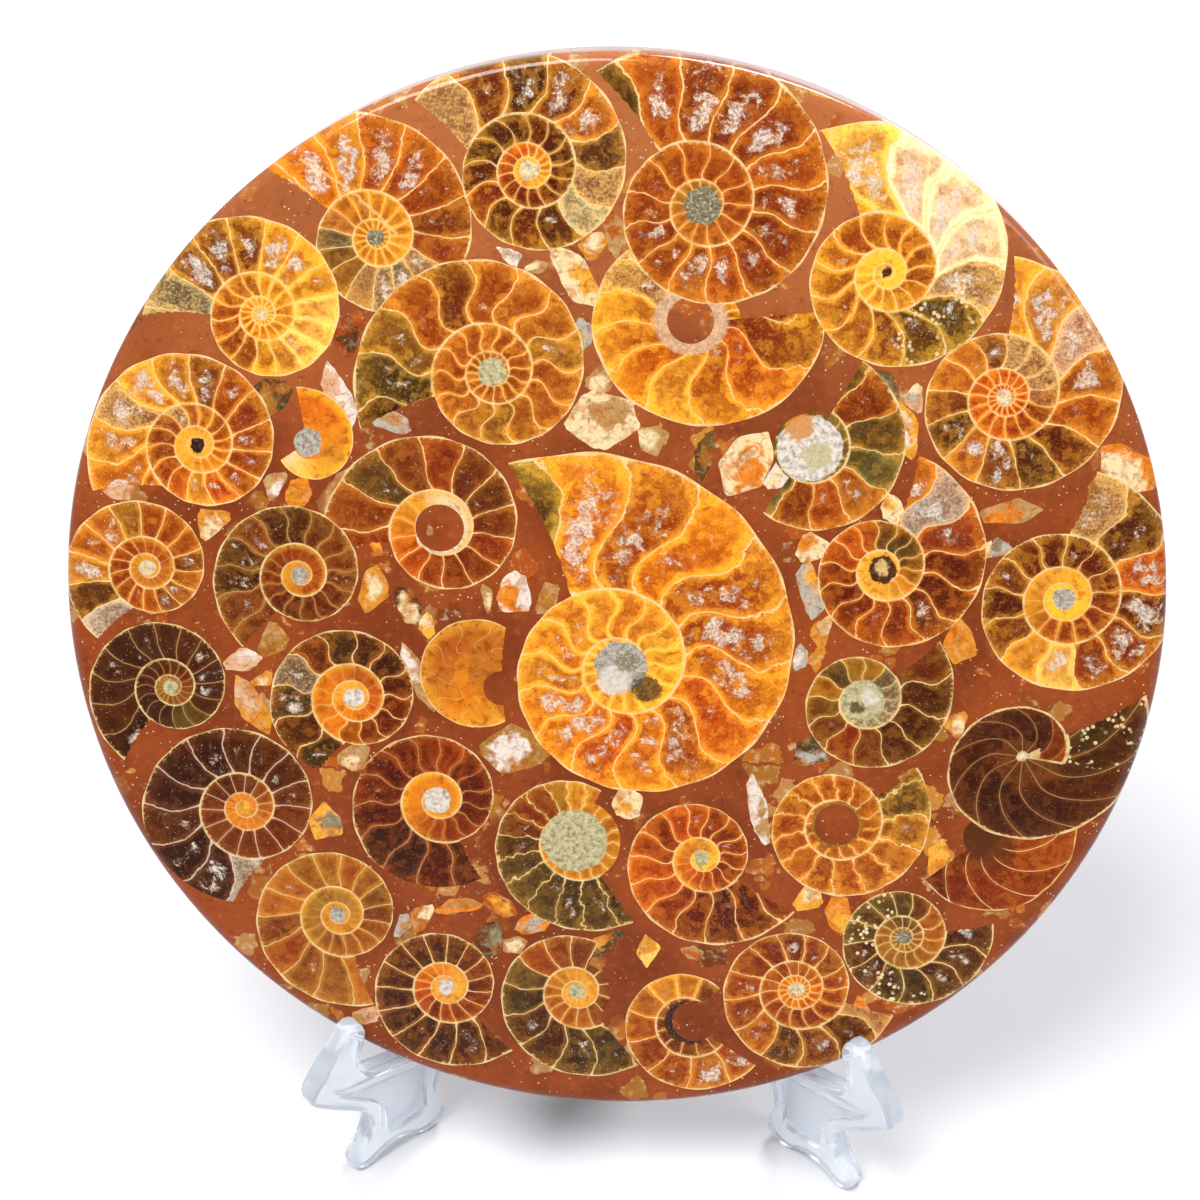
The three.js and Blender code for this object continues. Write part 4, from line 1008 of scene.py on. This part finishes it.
# %% Crystals, grains and pyrite
def add_crystals(finish, fossil, here, colour):
    """A milky haze with frost in it, loose specks, beads along the outer wall, and dots of pyrite."""
    stone, grit, sparkle = here.stone, here.grit, here.sparkle
    drift = finish.noise(stone, 0.45, 5, 0.7, 0.4)
    streak = finish.noise(stone, 2.2, 6, 0.75, 0.4)
    amount = (drift - 0.5) * 2.3 + (1 - here.oval) * 0.5 + sparkle * 0.5 - 0.7
    haze = amount.step(0.0, 0.45) * sparkle.step(0.0, 0.3)
    here.frost = streak.step(0.46, 0.53) * haze.step(0.15, 0.7)
    milky = finish.mix(here.cloud.step(0.42, 0.58), "ash", "peach")
    colour = finish.mix(haze * (0.45 + here.tilt * 0.25), colour, milky)
    colour = finish.mix(here.frost * (0.55 + here.flake * 0.45), colour, "milk")
    speck = finish.cells(stone, 1.9).step(0.19, 0.12) * streak.step(0.48, 0.54)
    colour = finish.mix(speck * (sparkle * 0.55 + 0.22), colour, "cream")
    bead = here.fray.step(0.52, 0.6) * (here.outside / (0.25 + here.radius * 0.03)).step(1.0, 0.5)
    colour = finish.mix(bead * 0.6 * here.chambered, colour, "shell")
    colour = finish.mix(grit.step(0.5, 0.6) * here.grainy * 0.3, colour, "cream")
    colour = finish.mix(grit.step(0.47, 0.38) * here.grainy * 0.35, colour, "moss")
    if "pyrite" in fossil:
        start, end, share = fossil["pyrite"]
        crowd = finish.noise(stone, 0.3, 2).step(0.46, 0.56)
        crowd = crowd * here.back.step(start, start + 0.01) * here.back.step(end, end - 0.01)
        dots = finish.cells(stone, 1.15).step(0.36, 0.28) * crowd
        colour = finish.mix(dots * share, colour, "cream")
    return colour


# %% Smooth inner turns
def smooth_turns(finish, fossil, here, colour):
    """Where no chambers show, one tone drifts along the coil and glows at its outer wall."""
    here.smooth = 0
    if "tube" not in fossil:
        return colour
    start, rim_tone = fossil["tube"]
    here.smooth = here.back.step(start, start + 0.3)
    body, _ = finish.ramp(here.back / TURNS_SHOWN, here.stops)
    edge = here.across.step(0.35, 0.02) * (0.7 if here.chambered else (1 - here.deeper) * 0.7)
    tube = finish.mix(edge, body, rim_tone)
    tube = finish.mix(here.mottle.step(0.52, 0.7) * 0.4, tube, finish.mix(0.5, body, here.glow))
    tube = finish.mix(here.mottle.step(0.5, 0.34) * 0.8, tube, finish.deepen(body))
    tube = finish.mix(here.grit.step(0.48, 0.34) * 0.35, tube, here.deep)
    return finish.mix(here.smooth * 0.85, colour, tube)


# %% [markdown]
# ## Walls, heart and crack
#
# The shell itself is a thin cream line that grinding has worn away here and there, so each wall is mixed in
# by its mask and by a noise for the wear. The first turn is too small to show chambers. A ragged spot of
# crystal or mud stands for it, and the same spots, placed one by one, cover what mud has hidden elsewhere.
# These come last, since they lie over everything.

# %% Draw the walls
def draw_walls(finish, fossil, here, colour):
    """Cream shell lines, worn here and there. A shaded shell is dark at its heart."""
    if "shade" in fossil:
        dark = (here.radius + (here.mottle - 0.5) * 4).step(*fossil["shade"])
        colour = finish.mix(dark * 0.9, colour, "umber")
    worn = finish.noise(here.stone, 0.5, 2).step(0.3, 0.6)
    line_tone = finish.mix(worn * 0.5, fossil.get("line", "shell"), "tan" if "line" in fossil else "cream")
    seen = (0.55 + worn * 0.35) * (1 - here.deeper * 0.2) * (1 - here.smooth * 0.65) * here.drawn
    colour = finish.mix(here.septum * seen, colour, line_tone)
    keep = 1 - here.deeper * (0.2 if here.chambered else 1)
    keep = keep * (1 - here.back.step(1.9, 2.1) * 0.4)
    wall_tone = finish.mix(worn * 0.6, "shell", "cream")
    return finish.mix(here.wall * keep * (0.5 + worn * 0.4), colour, wall_tone)


# %% Fill the heart
def fill_heart(finish, fossil, here, colour):
    """Crystal or mud in the first turn, with a ragged border, and lumps that cover more of some shells."""
    mottle, grit = here.mottle, here.grit
    size, tone = fossil["core"]
    lump = finish.noise(here.stone, 1.3, 4, 0.65)
    ragged = here.radius + (mottle - 0.5) * 1.4 + (lump - 0.5) * 0.8
    loose = 1 if tone in GRAINY else 0.15
    filling = finish.mix(lump.step(0.42, 0.6), finish.grade(tone, 0.62), tone)
    filling = finish.mix(grit.step(0.53, 0.6) * (0.5 * loose), filling, "milk")
    filling = finish.mix(lump.step(0.43, 0.33) * (0.45 * loose), filling, "bog")
    colour = finish.mix(ragged.step(size + 0.15, size - 0.1), colour, filling)
    for du, dv, size, tone in fossil.get("blobs", ()):
        away = ((here.u - du) ** 2 + (here.v - dv) ** 2) ** 0.5
        away = away + (mottle + here.cloud + lump - 1.5) * min(1.6, 8 / size ** 2)
        blob = finish.mix(lump.step(0.4, 0.6) * 0.7, tone, finish.grade(tone, 0.6))
        blob = finish.mix(grit.step(0.53, 0.6) * (0.5 if tone in GRAINY else 0.1), blob, "milk")
        colour = finish.mix(away.step(size + 0.3, size - 0.3) * 0.85, colour, blob)
    return colour


def draw_crack(finish, fossil, here, colour):
    """A healed crack, bowed to one side along its length."""
    start_u, start_v, direction, length = fossil["crack"]
    u, v = here.u - start_u, here.v - start_v
    cos, sin = math.cos(math.radians(direction)), math.sin(math.radians(direction))
    run = u * cos + v * sin
    off = v * cos - u * sin + (here.mottle - 0.5) * 1.4 - run * (length - run) * 0.012
    line = off.math("ABSOLUTE").step(0.3, 0.12) * run.step(0, 0.2) * run.step(length, length - 0.2)
    return finish.mix(line * 0.6, colour, "shell")


# %% [markdown]
# ## The whole shell finish
#
# Every layer is now a function, so a shell's material is the list of them in order. What is left is the
# polish. Ground calcite has a faint gloss, a little rougher on grains and frost, and the walls stand up by
# hundredths of a millimetre, which a bump node shows without any more faces.

# %% Shell finish
RIM_START = SLAB_RADIUS - EDGE_ROUND


def rim_polish(finish):
    """The rounded rim of the slab is buffed brighter than its face."""
    u, v, _ = finish.split(finish.drawing())
    return ((u * u + v * v) ** 0.5).step(RIM_START - 0.2, RIM_START + 0.3) * 0.4


def shell_finish(fossil, seed):
    finish = Finish(fossil["name"] + "_calcite")
    here = shell_coordinates(finish, fossil, seed)
    here.chambered = 0 if "plain" in fossil else 1
    find_chamber(finish, fossil, here)
    stone_textures(finish, here)
    chamber_tones(finish, fossil, here, seed)
    wall_masks(fossil, here)
    colour = chamber_body(finish, here)
    colour = add_crystals(finish, fossil, here, colour)
    colour = smooth_turns(finish, fossil, here, colour)
    colour = draw_walls(finish, fossil, here, colour)
    colour = fill_heart(finish, fossil, here, colour)
    if "crack" in fossil:
        colour = draw_crack(finish, fossil, here, colour)
    colour = finish.mix((here.grit - 0.5).math("ABSOLUTE") * 0.5, colour, "umber")
    rough = 0.13 + here.grainy * 0.08 + here.frost * 0.1 + (here.mottle - 0.5) * 0.06
    relief = here.grit * 0.3 + here.wall * 0.25 + here.septum * 0.2 + here.frost * 0.3
    at_rim = Vector(fossil["at"]).length + fossil["radius"] > RIM_START
    finish.polished_stone(colour, rough, relief, coat=rim_polish(finish) if at_rim else 0)
    return finish


for seed, fossil in enumerate(FOSSILS, start=1):
    piece = set_pieces[fossil["name"] + "_slice"]
    finish_piece(piece, shell_finish(fossil, seed), [fossil["name"]])
print("shell materials:", len(FOSSILS))

# %% [markdown]
# ## Chips
#
# A chip has a rind of one tone round a heart of another, fine growth rings, cloudy patches and a few dark
# seams. Painting each by hand would be slow, so the rings come from a sine of the distance from the chip's
# heart, the patches from noise and the seams from the borders of Voronoi cells.

# %% Chip finish
def chip_finish(name, at, size, turn, first, second, seed):
    finish = Finish(name + "_crystal")
    stone = finish.drawing(at[0] - 23.1 * seed, at[1] + 11.9 * seed)
    u, v, _ = finish.split(finish.drawing(*at))
    cos, sin = math.cos(math.radians(turn)), math.sin(math.radians(turn))
    along = (u * cos + v * sin) / (CHIP_SPREAD * size[0]) + 0.35 * math.sin(2.1 * seed)
    over = (v * cos - u * sin) / (CHIP_SPREAD * size[1]) + 0.35 * math.cos(1.7 * seed)
    patch = finish.noise(stone, 0.4, 3, 0.55, 0.8)
    blotch = finish.noise(stone, 0.8, 5, 0.6, 0.6)
    grit = finish.noise(stone, 2.4, 4, 0.7)
    rind = (along * along + over * over) ** 0.5 + (patch - 0.5) * 2.2
    colour = finish.mix(rind.step(0.35, 0.75), second, first)
    colour = finish.mix((rind * 17).sin().step(0.2, 1.0) * 0.22, colour, finish.deepen(colour))
    colour = finish.mix(finish.noise(stone, 0.35, 2).step(0.52, 0.66) * 0.6, colour, "amber")
    colour = finish.mix(blotch.step(0.5, 0.68) * 0.4, colour, finish.mix(0.5, colour, "cream"))
    colour = finish.mix(blotch.step(0.48, 0.34) * 0.75, colour, finish.mix(0.6, colour, "rust"))
    seam = finish.cells(stone, 0.4, "DISTANCE_TO_EDGE") + (blotch - 0.5) * 0.2
    colour = finish.mix(seam.step(0.05, 0.0) * 0.3, colour, "chestnut")
    colour = finish.mix(grit.step(0.57, 0.7) * 0.3, colour, "milk")
    colour = finish.mix(grit.step(0.42, 0.3) * 0.3, colour, "bog")
    finish.polished_stone(colour, 0.16 + grit * 0.15, grit, strength=0.15)
    return finish


for seed, (name, at, size, turn, corners, slot, first, second) in enumerate(CHIPS, start=1):
    nodes = [name] if name.startswith("chip") else []
    finish = chip_finish(name, at, size, turn, first, second, seed)
    finish_piece(set_pieces[name + "_piece"], finish, nodes)
print("chip materials:", len(CHIPS))

# %% [markdown]
# ## The matrix
#
# The stone that holds everything is a fine red-brown mudstone bound with resin. Close up it has cream and
# black specks and a little rubble too fine to model, and its tone drifts from a warm clay to a darker brick.
# It is painted paler towards the top, a painted sheen that stands in for light reflected there. Voronoi cells
# cut to small round dots give the specks, whole cells with bent borders give the rubble, and slow noise gives
# the drift.

# %% Matrix finish
def matrix_finish():
    finish = Finish("red_mudstone")
    stone = finish.drawing()
    _, v, _ = finish.split(stone)
    drift = finish.noise(stone, 0.05, 3, 0.6)
    mottle = finish.noise(stone, 0.9, 4, 0.6)
    grain = finish.noise(stone, 6.0, 3, 0.7)
    bent = finish.bend(stone, 0.5, 2.4, 3)
    colour = finish.mix(drift.step(0.35, 0.65), "brick", "clay")
    # Painted sheen: a paler salmon towards the top of the face stands in for light reflected there.
    colour = finish.mix((v + drift * 40).step(30, 95) * 0.6, colour, "salmon")
    colour = finish.mix(mottle.step(0.55, 0.75) * 0.3, colour, "salmon")
    colour = finish.mix(mottle.step(0.45, 0.3) * 0.35, colour, "soot")
    kind = finish.split(finish.cells(bent, 0.3, output="Color"))
    rubble = kind[0].step(0.8, 0.81) * drift.step(0.42, 0.5)
    edge = finish.cells(bent, 0.3, "DISTANCE_TO_EDGE").step(0.03, 0.07)
    bits, _ = finish.ramp(kind[1], [(0.0, "umber"), (0.25, "russet"), (0.45, "amber"), (0.65, "ochre"),
                                    (0.85, "tan"), (1.0, "honey")])
    bits = finish.mix(mottle.step(0.5, 0.7) * 0.6, bits, "cream")
    colour = finish.mix(rubble * edge * 0.75, colour, bits)
    colour = finish.mix(grain.step(0.45, 0.3) * 0.35, colour, "soot")
    crowd = finish.noise(stone, 0.12, 2).step(0.4, 0.65)
    pale = finish.cells(stone, 1.1).step(0.16, 0.09) * crowd
    dark = finish.cells(stone, 2.3).step(0.14, 0.08)
    colour = finish.mix(dark * 0.6, colour, "soot")
    colour = finish.mix(pale * 0.8, colour, "cream")
    finish.polished_stone(colour, 0.17 + mottle * 0.1, grain, coat=rim_polish(finish))
    return finish


finish_piece(matrix, matrix_finish(), ["matrix_slab"])

# %% [markdown]
# ## The easel
#
# Two flat mouldings of clear acrylic hinge on an upright pin behind the slab. Each has a thick rounded rim
# and a thin frosted web, two toes, a knee, a prong that stops the slab and an arm that it leans on. The
# outline is drawn with the distance back from the toe and the height, softened, extruded and bevelled. Its
# knuckles are rods joined to it, with gaps cut for the other leg's, and a gauge of the slab cuts its seat.

# %% Easel shapes
LEG_ANGLE = math.radians(42.5)
LEG_FOOT = Vector((-37.1, FACE_CENTRE.y / MM - 22.8, 0))
RIM_HALF = 1.8
WEB_HALF = 0.7
HINGE_Y = LEG_FOOT.y - LEG_FOOT.x * math.tan(LEG_ANGLE)
LEG_OUTLINE = [
    (0, 0), (1.9, 0), (4.4, 1.5), (7.2, 1.9), (9.6, 1), (11, 0), (13.2, 0), (15.4, 1.2), (15.9, 3.4),
    (14.7, 6), (14.5, 8.8), (15.6, 12), (18.4, 17.4), (26, 32.2), (31.5, 43), (35, 46.4), (39, 46.6),
    (42.6, 44), (44, 39.6), (44, 5), (43.2, 0), (48, 0), (48, 70), (46.6, 72), (42.4, 72), (40.4, 70),
    (25.8, 40.6), (16.2, 21.8), (14, 17.6), (8, 18.3), (2.6, 19.4), (1.2, 20.6), (1.3, 23.4), (2.8, 27),
    (2.6, 29.2), (0.9, 30), (-0.8, 29.2), (-3, 26), (-6.4, 22.6), (-7.6, 20.2), (-7.1, 18.4),
    (-3.4, 15.4), (0.4, 12.6), (2.3, 10.4), (2.5, 8.2), (1.2, 5), (-0.9, 2.8), (-1.2, 1),
]
LEG_RECESSES = [
    [(4.6, 4.4), (10.2, 4.2), (12.6, 5), (12.1, 8.6), (13.2, 12.6), (12.6, 15), (7, 15.8), (2, 16.6),
     (-1.6, 17.4), (-3.2, 18.4), (-1.8, 16.8), (2.6, 13.6), (4.8, 11), (4.9, 7.6)],
    [(34.4, 49.4), (43.6, 48.6), (45, 52), (45, 67), (42.4, 68)],
]
TAIL_OUTLINE = [(-1, 0), (19.5, 0), (21, 0.8), (21, 2.6), (19, 4.2), (11, 5.6), (4, 8.6), (1, 13), (-1, 14)]


def upright_place(start, angle):
    """The outline's x runs along the ground from start, and its y goes up."""
    along = Vector((math.cos(angle), math.sin(angle), 0))
    across = along.cross(Vector((0, 0, 1)))
    place = Matrix((along, (0, 0, 1), across)).transposed().to_4x4()
    return Matrix.Scale(MM, 4) @ Matrix.Translation(start) @ place


def plate(name, points, place, near_side, far_side, round_edge=0.0, soften=0):
    bm = raise_face(outline_face(points, soften), near_side, far_side)
    if round_edge:
        rim = [edge for edge in bm.edges if abs(edge.verts[0].co.z - edge.verts[1].co.z) < 1e-4]
        bmesh.ops.bevel(bm, geom=rim, offset=round_edge, affect="EDGES", segments=3, profile=0.5, material=-1,
                        clamp_overlap=True)
    bm.transform(place)
    return new_object(name, bm)


def upright_rod(name, radius, bottom, top, segments=32):
    bm = bmesh.new()
    bmesh.ops.create_circle(bm, cap_ends=True, radius=radius, segments=segments)
    raise_face(bm, bottom, top)
    bm.transform(Matrix.Scale(MM, 4) @ Matrix.Translation((0, HINGE_Y, 0)))
    return new_object(name, bm)


def mirror_across(piece):
    bm = bmesh.new()
    bm.from_mesh(piece.data)
    bmesh.ops.scale(bm, vec=(-1, 1, 1), verts=bm.verts[:])
    bmesh.ops.reverse_faces(bm, faces=bm.faces[:])
    bm.to_mesh(piece.data)
    bm.free()


# %% Build the legs and the pin
LEFT_KNUCKLES = [(4, 19), (37, 52)]
RIGHT_KNUCKLES = [(20, 36), (53, 71)]
KNUCKLE_RADIUS = 3.2
BORE_RADIUS = 1.5
PIN_RADIUS = 1.2
PIN_TOP = 72.3


def build_leg(name, mirrored, own, other):
    place = upright_place(LEG_FOOT, LEG_ANGLE)
    leg = plate(name, LEG_OUTLINE, place, -RIM_HALF, RIM_HALF, round_edge=0.8, soften=1)
    tools = []
    for outline in LEG_RECESSES:
        tools.append(plate("recess", outline, place, WEB_HALF, 3, soften=1))
        tools.append(plate("recess", outline, place, -3, -WEB_HALF, soften=1))
    carve(leg, tools, "DIFFERENCE")
    discard(tools)
    tail_place = upright_place(Vector((-3.6, HINGE_Y - 1.8, 0)), math.radians(109))
    tail = plate("tail", TAIL_OUTLINE, tail_place, -2, 2, round_edge=0.6, soften=1)
    carve(leg, [tail], "UNION")
    discard([tail])
    if mirrored:
        mirror_across(leg)
    rods = [upright_rod("knuckle", KNUCKLE_RADIUS, *span) for span in own]
    carve(leg, rods, "UNION")
    gaps = [upright_rod("gap", KNUCKLE_RADIUS + 0.3, low - 0.3, high + 0.3) for low, high in other]
    gaps.append(upright_rod("bore", BORE_RADIUS, -1, 90, 24))
    carve(leg, [*gaps, slab_gauge], "DIFFERENCE")
    discard([*rods, *gaps])
    tidy_edges(leg, 40)
    return leg


leg_left = build_leg("leg_left", False, LEFT_KNUCKLES, RIGHT_KNUCKLES)
leg_right = build_leg("leg_right", True, RIGHT_KNUCKLES, LEFT_KNUCKLES)
pin = upright_rod("pin", PIN_RADIUS, 3, PIN_TOP)
pin_head = upright_rod("pin_head", 2.6, PIN_TOP, PIN_TOP + 1.6)
carve(pin, [pin_head], "UNION")
discard([pin_head, slab_gauge])
tidy_edges(pin, 40)
print("leg faces:", len(leg_left.data.polygons))


# %% [markdown]
# ## Clear acrylic
#
# The easel is moulded in water-clear plastic. A pale grey paint could hint at it, but only light that really
# bends through it shows the bright rims. So it has plain transmission and acrylic's own index, with a little
# white left in it. The mould leaves the thin webs frosted: they are found by a point's distance from the
# middle plane of its leg, and get a rougher, rippled surface.

# %% Clear acrylic
def acrylic_finish(name, side=0):
    """Clear plastic. On a leg, side is 1 or -1 and the thin webs between the rims are frosted."""
    finish = Finish(name)
    point = finish.node("ShaderNodeMapping", {"vector_type": "POINT"}, {
        "Vector": finish.object_coords, "Scale": (1 / MM, 1 / MM, 1 / MM)})
    flow = finish.noise(point, 0.12, 2)
    ripple = finish.noise(point, 1.6, 3)
    rough = 0.02 + flow * 0.04
    height = flow
    if side:
        x, y, up = finish.split(point)
        along = (x * side - LEG_FOOT.x) * math.cos(LEG_ANGLE) + (y - LEG_FOOT.y) * math.sin(LEG_ANGLE)
        across = (x * side - LEG_FOOT.x) * math.sin(LEG_ANGLE) - (y - LEG_FOOT.y) * math.cos(LEG_ANGLE)
        web = across.math("ABSOLUTE").step(WEB_HALF + 0.4, WEB_HALF + 0.1)
        web = web * along.step(-4, -3) * up.step(3.8, 4.4)
        web = web * up.step(18.6, 18.2).most(up.step(48, 48.6) * up.step(68.4, 68))
        rough = rough + web * (0.3 + ripple * 0.2)
        height = height + web * ripple * 0.6
    finish.set(Base_Color=linear("f4f9ff"), Roughness=rough, IOR=1.45, Transmission_Weight=0.75,
               Normal=finish.bump(height, 0.25, 0.0004))
    return finish


finish_piece(leg_left, acrylic_finish("clear_acrylic_left", 1), ["stand_left"])
finish_piece(leg_right, acrylic_finish("clear_acrylic_right", -1), ["stand_right"])
finish_piece(pin, acrylic_finish("clear_acrylic_pin"), ["hinge_pin"])

# %% [markdown]
# ## The studio
#
# A plain pale floor, an even sky and two large soft lamps show a polished stone best: the lamps are seen in
# it only as a faint sheen. A small third lamp behind the slab picks out its rounded rim. The camera stands
# close, a little above and to the right of the middle.

# %% Floor
floor_bm = bmesh.new()
bmesh.ops.create_grid(floor_bm, x_segments=1, y_segments=1, size=3)
floor = new_object("floor", floor_bm)
floor_paint = Finish("pale_floor")
floor_paint.set(Base_Color=linear("c9c9cc"), Roughness=0.7)
floor.data.materials.append(floor_paint.material)

# %% Lamps and sky
def lamp(name, place, aim, size, power):
    data = bpy.data.lights.new(name, "AREA")
    data.shape = "DISK"
    data.size = size
    data.energy = power
    made = bpy.data.objects.new(name, data)
    made.location = place
    made.rotation_euler = (Vector(aim) - Vector(place)).to_track_quat("-Z", "Y").to_euler()
    bpy.context.scene.collection.objects.link(made)


lamp("key", (-0.3, -0.35, 1.0), (0, 0, 0.08), 0.6, 14)
lamp("fill", (0.75, -0.35, 0.7), (0, 0, 0.08), 0.6, 4)
lamp("rim", (0.16, 0.5, 0.55), (0, 0, 0.14), 0.3, 4)
world = bpy.data.worlds.new("sky")
world.use_nodes = True
world.node_tree.nodes["Background"].inputs[0].default_value = (0.9, 0.94, 1.0, 1)
world.node_tree.nodes["Background"].inputs[1].default_value = 0.5
bpy.context.scene.world = world

# %% Camera
camera_data = bpy.data.cameras.new("camera")
camera_data.sensor_width = 36
camera_data.lens = 74.9
camera = bpy.data.objects.new("camera", camera_data)
camera.location = FACE_CENTRE + Vector((0.0126, -0.2711, 0.2048))
camera.rotation_euler = Euler((math.radians(90 - 36.71), 0, math.radians(2.98)), "XYZ")
bpy.context.scene.collection.objects.link(camera)
bpy.context.scene.camera = camera
bpy.context.scene.view_settings.view_transform = "Standard"
